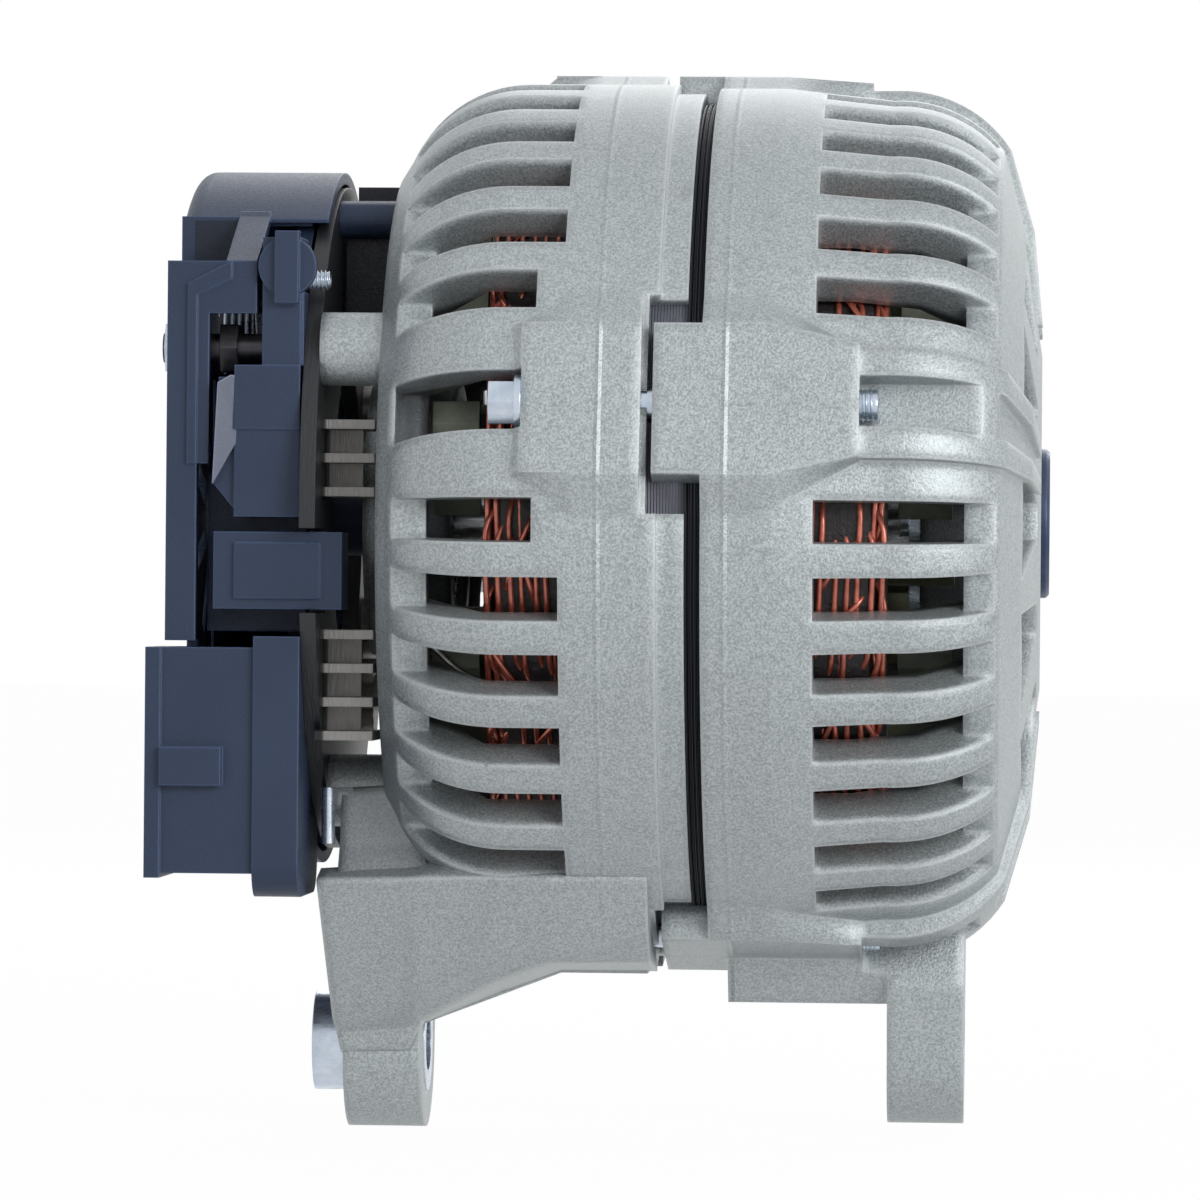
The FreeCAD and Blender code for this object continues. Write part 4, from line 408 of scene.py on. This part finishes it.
def winding_head(name, core_face, crown, outer, seed):
    """Rows of wire round the end of the stator core: each arc leaves one slot and dives into another."""
    chance = random.Random(seed)
    outwards = 1 if crown > core_face else -1
    rows = int((abs(crown - core_face) - WIRE) / ROW_PITCH) + 1
    courses = []
    for coil in range(2 * COILS_ROUND):
        first = math.pi * coil / COILS_ROUND + FIRST_COIL + chance.uniform(-0.03, 0.03)
        lean = chance.uniform(0.6, 1.8) * MM
        under = 1.1 * MM * (coil % 2)
        for row in range(rows):
            reach = WIRE * 0.6 + ROW_PITCH * (row + 0.3 * (coil % 2)) + chance.uniform(-0.2, 0.2) * MM
            reach = min(reach, abs(crown - core_face) - WIRE * 0.6)
            span = 2 * math.pi / COILS_ROUND * chance.uniform(0.86, 1.12)
            start = first + chance.uniform(-0.05, 0.05)
            lift = outer + chance.uniform(0.2, 0.7) * MM - under
            course = []
            steps = 14
            for step in range(steps + 1):
                way = step / steps
                end_part = max(0.0, abs(2 * way - 1) - 0.55) / 0.45
                x = core_face + outwards * (reach * (1 - 0.35 * end_part ** 2) + lean * (way - 0.5))
                course.append(about_shaft(x, lift - 3.2 * MM * end_part ** 2, start + span * way))
            courses.append(course)
    wires(name, courses, WIRE, "copper", "stator")


def crossing_leads(name, core_face, crown, outer, count, seed):
    """Loose wires that cross the head slantwise from its crown to the core."""
    chance = random.Random(seed)
    outwards = 1 if crown > core_face else -1
    depth = abs(crown - core_face)
    courses = []
    for lead in range(count):
        angle = 2 * math.pi * (lead + chance.uniform(-0.4, 0.4)) / count
        sweep = chance.choice((-1, 1)) * chance.uniform(0.10, 0.24)
        top = depth * chance.uniform(0.55, 0.97)
        length = top * chance.uniform(0.5, 0.95)
        bend = chance.uniform(0.5, 1.6)
        course = []
        for step in range(9):
            way = step / 8
            x = core_face + outwards * (top - length * way ** bend)
            lift = outer + 0.75 * MM - 2.4 * MM * (2 * way - 1) ** 6
            course.append(about_shaft(x, lift, angle + sweep * way))
        courses.append(course)
    wires(name, courses, WIRE, "copper", "stator")


def thread(name, y, z, start, end, radius, pitch, finish, body):
    """A helical screw thread on the outside of a rod that lies along X, with a chamfered free end."""
    sides = 28
    depth = 0.55 * pitch
    length = abs(end - start)
    towards = 1 if end > start else -1
    verts, faces = [], []
    rings = int(length / pitch * 4)
    for ring in range(rings + 1):
        for side in range(sides):
            turn = side / sides
            along = min(max((ring / 4 + turn) * pitch, 0), length)
            crest = (1.0, 0.5, 0.0, 0.5)[ring % 4]
            height = radius + 0.35 * pitch - depth * (1 - crest)
            height -= max(0.0, along - (length - 0.6 * pitch)) * 0.9
            angle = 2 * math.pi * turn
            verts.append((start + towards * along, y + height * math.cos(angle),
                          z + height * math.sin(angle)))
    for ring in range(rings):
        for side in range(sides):
            following = (side + 1) % sides
            # The last side meets the first one a whole pitch further along
            jump = 4 if following == 0 else 0
            if ring + 1 + jump > rings:
                continue
            a = ring * sides + side
            b = (ring + jump) * sides + following
            faces.append((a, b, b + sides, a + sides))
    mesh = bpy.data.meshes.new(name)
    mesh.from_pydata(verts, [], faces)
    for face in mesh.polygons:
        face.use_smooth = False
    mesh.update()
    return piece(name, mesh, finish, body)


core_low, core_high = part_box("stator_core")
winding_low, winding_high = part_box("stator_winding")
winding_outer = winding_high[2]
winding_head("front_winding_wires", core_high[0], winding_high[0], winding_outer, seed=5)
winding_head("rear_winding_wires", core_low[0], winding_low[0], winding_outer, seed=9)
crossing_leads("front_crossing_leads", core_high[0], winding_high[0], winding_outer, count=30, seed=3)
crossing_leads("rear_crossing_leads", core_low[0], winding_low[0], winding_outer, count=34, seed=4)

BOLT_CIRCLE = 73.6 * MM
LUG_ANGLE = math.radians(14.5)
LUG_FACE = -31.5 * MM
BOLT_RADIUS, BOLT_PITCH = 2.5 * MM, 0.8 * MM
STUD_Y, STUD_Z = 16 * MM, 36 * MM
STUD_RADIUS, STUD_PITCH = 4.0 * MM, 1.25 * MM
bolt_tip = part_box("through_bolts")[1][0]
for lug in range(4):
    _, y, z = about_shaft(0, BOLT_CIRCLE, LUG_ANGLE + lug * math.pi / 2)
    thread(f"bolt_thread_{lug + 1}", y, z, LUG_FACE, bolt_tip, BOLT_RADIUS, BOLT_PITCH,
           "zinc_steel", "stator")
stud_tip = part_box("battery_stud")[0][0]
nut_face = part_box("battery_nut")[0][0]
thread("battery_thread", STUD_Y, STUD_Z, nut_face, stud_tip, STUD_RADIUS, STUD_PITCH,
       "zinc_steel", "stator")


# The rear foot's bracket: wide cheeks from the barrel down to the foot, under a root block coloured dark as
# painted shade
def solid(name, rows, finish, body, rounded_rows=(), round_radius=0.0):
    """A closed form between rows of points in millimetres, joined in order and back to the first."""
    form = bmesh.new()
    grid = [[form.verts.new(Vector(point) * MM) for point in row] for row in rows]
    for near, far in zip(grid, grid[1:] + grid[:1]):
        for a, b, c, d in zip(near, near[1:], far[1:], far):
            form.faces.new((a, b, c, d))
    form.faces.new([row[0] for row in grid])
    form.faces.new([row[-1] for row in reversed(grid)])
    ridges = [form.edges.get(ends) for row in rounded_rows for ends in zip(grid[row], grid[row][1:])]
    if ridges:
        bmesh.ops.bevel(form, geom=ridges, offset=round_radius, segments=4, profile=0.5, affect="EDGES")
    bmesh.ops.recalc_face_normals(form, faces=form.faces)
    mesh = bpy.data.meshes.new(name)
    form.to_mesh(mesh)
    form.free()
    return piece(name, mesh, finish, body)


CHEEK_ROWS = (
    # Inside the barrel, on its crease, on the fold of the wall, on its bevel, on its bottom edge, at the web
    ((-67.3, 41.0, -58.0), (-84.0, 41.0, -58.0), (-94.0, 40.0, -57.0),
     (-107.6, 38.5, -59.0), (-109.6, 38.5, -59.0), (-123.2, 38.0, -60.0)),
    ((-67.3, 46.3, -60.6), (-84.0, 46.3, -60.8), (-94.0, 45.6, -61.0),
     (-107.6, 44.6, -61.4), (-109.6, 44.4, -61.5), (-123.5, 43.6, -61.8)),
    ((-67.3, 45.0, -61.8), (-84.0, 40.8, -70.0), (-94.0, 36.0, -75.0),
     (-107.6, 27.0, -82.0), (-109.6, 25.0, -82.8), (-122.9, 19.0, -86.8)),
    ((-67.3, 40.5, -69.8), (-84.0, 37.0, -75.4), (-94.0, 31.0, -79.0),
     (-107.6, 20.0, -86.0), (-109.6, 17.2, -88.4), (-122.4, 16.2, -89.4)),
    ((-67.3, 33.0, -75.6), (-84.0, 34.5, -75.9), (-94.0, 28.0, -79.8),
     (-107.6, 17.0, -87.2), (-109.6, 15.1, -92.6), (-121.7, 15.0, -93.0)),
    ((-67.3, 8.5, -78.4), (-84.0, 8.5, -78.5), (-94.0, 8.5, -82.2),
     (-107.6, 10.0, -87.6), (-109.6, 12.0, -92.0), (-121.6, 12.0, -92.0)),
)
ROOT_ROWS = (
    ((-106.0, 30.0, -63.0), (-112.0, 30.0, -63.0), (-120.0, 30.0, -63.0)),
    ((-104.0, 41.5, -62.5), (-112.0, 41.5, -62.5), (-120.2, 41.5, -62.5)),
    ((-106.0, 38.5, -56.0), (-112.0, 38.5, -56.0), (-120.0, 38.5, -56.0)),
    ((-110.6, 36.8, -45.8), (-112.0, 36.8, -45.9), (-119.8, 36.8, -46.4)),
    ((-110.6, 28.0, -45.8), (-112.0, 28.0, -45.9), (-119.8, 28.0, -46.4)),
)
LEDGE_ROWS = (
    ((-118.0, 30.0, -50.0), (-123.4, 30.0, -50.0)),
    ((-118.0, 37.0, -50.0), (-123.4, 37.0, -50.0)),
    ((-118.0, 37.0, -46.3), (-123.4, 37.0, -46.5)),
    ((-118.0, 30.0, -46.3), (-123.4, 30.0, -46.5)),
)
BRACKET_ROUNDING = 0.9 * MM
for side_name, side in (("near", -1), ("far", 1)):
    for name, rows, finish, ridges in (
            ("foot_bracket_wall", CHEEK_ROWS, "cast_bracket", (1, 2, 4)),
            ("foot_bracket_root", ROOT_ROWS, "cast_shaded", (3,)),
            ("foot_bracket_ledge", LEDGE_ROWS, "cast_shaded", ())):
        placed = [[(x, side * y, z) for x, y, z in row] for row in rows]
        solid(f"{name}_{side_name}", placed, finish, "stator", ridges, BRACKET_ROUNDING)


# Fan blade tips: broad olive sheets bent back from the fans' rims
def blade_tips(name, count, start, end, inner, outer, lean):
    steps = 5
    thickness = 1.5
    rows = []
    form = bmesh.new()
    for blade in range(count):
        for face in (0.0, thickness):
            for edge in (start, end):
                row = []
                for step in range(steps + 1):
                    way = step / steps
                    radius = inner + (outer - inner) * math.sin(way * math.pi / 2) + face
                    angle = math.radians(360 * blade / count + lean * way)
                    row.append(form.verts.new(about_shaft(edge * MM, radius * MM, angle)))
                rows.append(row)
    for blade in range(count):
        low_in, low_out, high_in, high_out = rows[4 * blade:4 * blade + 4]
        ring = (low_in, low_out, high_out, high_in)
        for near, far in zip(ring, ring[1:] + ring[:1]):
            for a, b, c, d in zip(near, near[1:], far[1:], far):
                form.faces.new((a, b, c, d))
        form.faces.new([row[0] for row in ring])
        form.faces.new([row[-1] for row in reversed(ring)])
    bmesh.ops.recalc_face_normals(form, faces=form.faces)
    mesh = bpy.data.meshes.new(name)
    form.to_mesh(mesh)
    form.free()
    return piece(name, mesh, "olive_tips", "rotor")


blade_tips("front_fan_tips", 10, start=-25.4, end=-16.3, inner=46.5, outer=55.4, lean=20)
blade_tips("rear_fan_tips", 9, start=-103.6, end=-95.6, inner=46.5, outer=54.6, lean=20)


# Small parts about the electronics
wires("bracket_screw", [[Vector((-121.9, -39.4, z)) * MM for z in (-46.2, -48.0, -52.0, -55.8)]],
      2.3 * MM, "zinc_steel", "stator")
thread("clamp_screw_end", -46 * MM, 39.6 * MM, -126.2 * MM, -121.6 * MM, 1.5 * MM, 0.7 * MM,
       "zinc_steel", "stator")
SLEEVES = (("low_terminal_sleeve", -125.2, 51.4, 3.3), ("terminal_sleeve_neck", -127.0, 52.2, 2.0))
for name, x_end, z, radius in SLEEVES:
    wires(name, [[Vector((x, -16.2, z)) * MM for x in (x_end, -122.0, -116.0, -110.6)]],
          2 * radius * MM, "black_plastic", "stator")
# A paler facet on the connection carrier, a painted sheen for the gloss on its flat face: its corners, and
# the depth at which it meets the connection carrier
FACET = ((-139.7, 54.8, 22.0), (-137.6, 54.0, 23.3), (-135.3, 52.6, 23.0), (-135.9, 52.6, 13.5),
         (-140.5, 54.8, 4.9))
FACET_BACK = -52.0
solid("connection_facet", [[(x, FACET_BACK, z), (x, -y, z)] for x, y, z in FACET],
      "sheen_moulding", "stator")
# Angles of the leads, and what each lead does along the shaft: X, radius and turn
PHASE_LEADS = (-26, -20, 24)
LEAD_COURSE = ((-91.0, 63.5, 0), (-94.0, 64.3, 0), (-98.0, 63.0, 1), (-101.0, 60.9, 3),
               (-103.5, 60.0, 5), (-105.5, 60.6, 6))
wires("phase_leads", [[about_shaft(x * MM, radius * MM, math.radians(degrees + turn))
                       for x, radius, turn in LEAD_COURSE] for degrees in PHASE_LEADS],
      1.2 * MM, "diode_metal", "stator")


# Brush springs, which on the real alternator shorten as the brushes go back into their chambers: here their
# coils are copied into pieces with meshes of their own
for ring in ("inner", "outer"):
    node = f"{ring}_brush_spring"
    coils = frame["nodes"][node].data.copy()
    coils.materials.clear()
    spring = piece(f"{ring}_spring_coils", coils, "zinc_steel", "stator")
    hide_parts(node)
    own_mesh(spring)


# Studio and camera
MM_PER_PIXEL = 0.175
CAMERA_DISTANCE = 1.25
CAMERA_YAW = math.radians(3.5)
CAMERA_ROLL = math.radians(0.5)
PICTURE_WIDTH = 1200
SENSOR_WIDTH = 36
PICTURE_MIDDLE = Vector((-78.4, 0, -14.0)) * MM


def camera():
    right = Vector((math.cos(CAMERA_YAW), math.sin(CAMERA_YAW), 0))
    back = Vector((math.sin(CAMERA_YAW), -math.cos(CAMERA_YAW), 0))
    up = Vector((0, 0, 1))
    rolled_right = math.cos(CAMERA_ROLL) * right + math.sin(CAMERA_ROLL) * up
    rolled_up = math.cos(CAMERA_ROLL) * up - math.sin(CAMERA_ROLL) * right
    data = bpy.data.cameras.new("camera")
    data.sensor_width = SENSOR_WIDTH
    data.lens = SENSOR_WIDTH * CAMERA_DISTANCE / (MM_PER_PIXEL * MM * PICTURE_WIDTH)
    data.clip_start = 0.01
    item = bpy.data.objects.new("camera", data)
    item.matrix_world = Matrix.Translation(PICTURE_MIDDLE + back * CAMERA_DISTANCE) @ Matrix(
        (rolled_right, rolled_up, back)).transposed().to_4x4()
    bpy.context.collection.objects.link(item)
    bpy.context.scene.camera = item


def lamp(name, place, size, power):
    data = bpy.data.lights.new(name, "AREA")
    data.size = size
    data.energy = power
    item = bpy.data.objects.new(name, data)
    item.location = place
    item.rotation_euler = (PICTURE_MIDDLE - Vector(place)).to_track_quat("-Z", "Y").to_euler()
    bpy.context.collection.objects.link(item)


FLOOR_REACH = 6.0
FLOOR_WHITE = 1.035
FLOOR_SHARE = 0.93
WORLD_LEVEL = 0.44
LAMPS = (
    # Name, place in metres, width in metres, power in watts
    ("key", (0.7, -1.1, 0.42), 0.5, 6.3),
    ("side", (1.0, -0.7, 0.2), 0.5, 2.7),
    ("back", (0.1, 1.1, 0.6), 0.8, 3.4),
)


def seen_plainly(tree):
    """1 where the camera, a gloss or a glass sees the background, 0 where it only gives light."""
    rays = tree.nodes.new("ShaderNodeLightPath")
    return (Wire(rays.outputs["Is Camera Ray"]) + Wire(rays.outputs["Is Glossy Ray"])
            + Wire(rays.outputs["Is Transmission Ray"])).least(1.0)


def studio():
    lowest = cad_box[0][2]
    mesh = bpy.data.meshes.new("floor")
    reach = FLOOR_REACH
    mesh.from_pydata([(-reach, -reach, lowest), (reach, -reach, lowest), (reach, reach, lowest),
                      (-reach, reach, lowest)], [], [(0, 1, 2, 3)])
    floor = bpy.data.objects.new("floor", mesh)
    bpy.context.collection.objects.link(floor)
    material = bpy.data.materials.new("floor")
    material.use_nodes = True
    tree = material.node_tree
    shader = tree.nodes["Principled BSDF"]
    shader.inputs["Base Color"].default_value = (0.6, 0.6, 0.6, 1)
    shader.inputs["Roughness"].default_value = 0.9
    white = tree.nodes.new("ShaderNodeEmission")
    mix = tree.nodes.new("ShaderNodeMixShader")
    white.inputs["Strength"].default_value = FLOOR_WHITE
    tree.links.new((seen_plainly(tree) * FLOOR_SHARE).socket, mix.inputs[0])
    tree.links.new(shader.outputs[0], mix.inputs[1])
    tree.links.new(white.outputs[0], mix.inputs[2])
    tree.links.new(mix.outputs[0], tree.nodes["Material Output"].inputs[0])
    mesh.materials.append(material)
    world = bpy.data.worlds.new("studio")
    world.use_nodes = True
    bpy.context.scene.world = world
    tree = world.node_tree
    soft = tree.nodes["Background"]
    soft.inputs[0].default_value = (0.93, 0.96, 1.0, 1)
    soft.inputs[1].default_value = WORLD_LEVEL
    plain = tree.nodes.new("ShaderNodeBackground")
    plain.inputs[0].default_value = (1, 1, 1, 1)
    mix = tree.nodes.new("ShaderNodeMixShader")
    tree.links.new(seen_plainly(tree).socket, mix.inputs[0])
    tree.links.new(soft.outputs[0], mix.inputs[1])
    tree.links.new(plain.outputs[0], mix.inputs[2])
    tree.links.new(mix.outputs[0], tree.nodes["World Output"].inputs[0])
    for name, place, size, power in LAMPS:
        lamp(name, place, size, power)
    bpy.context.scene.view_settings.view_transform = "Standard"


camera()
studio()
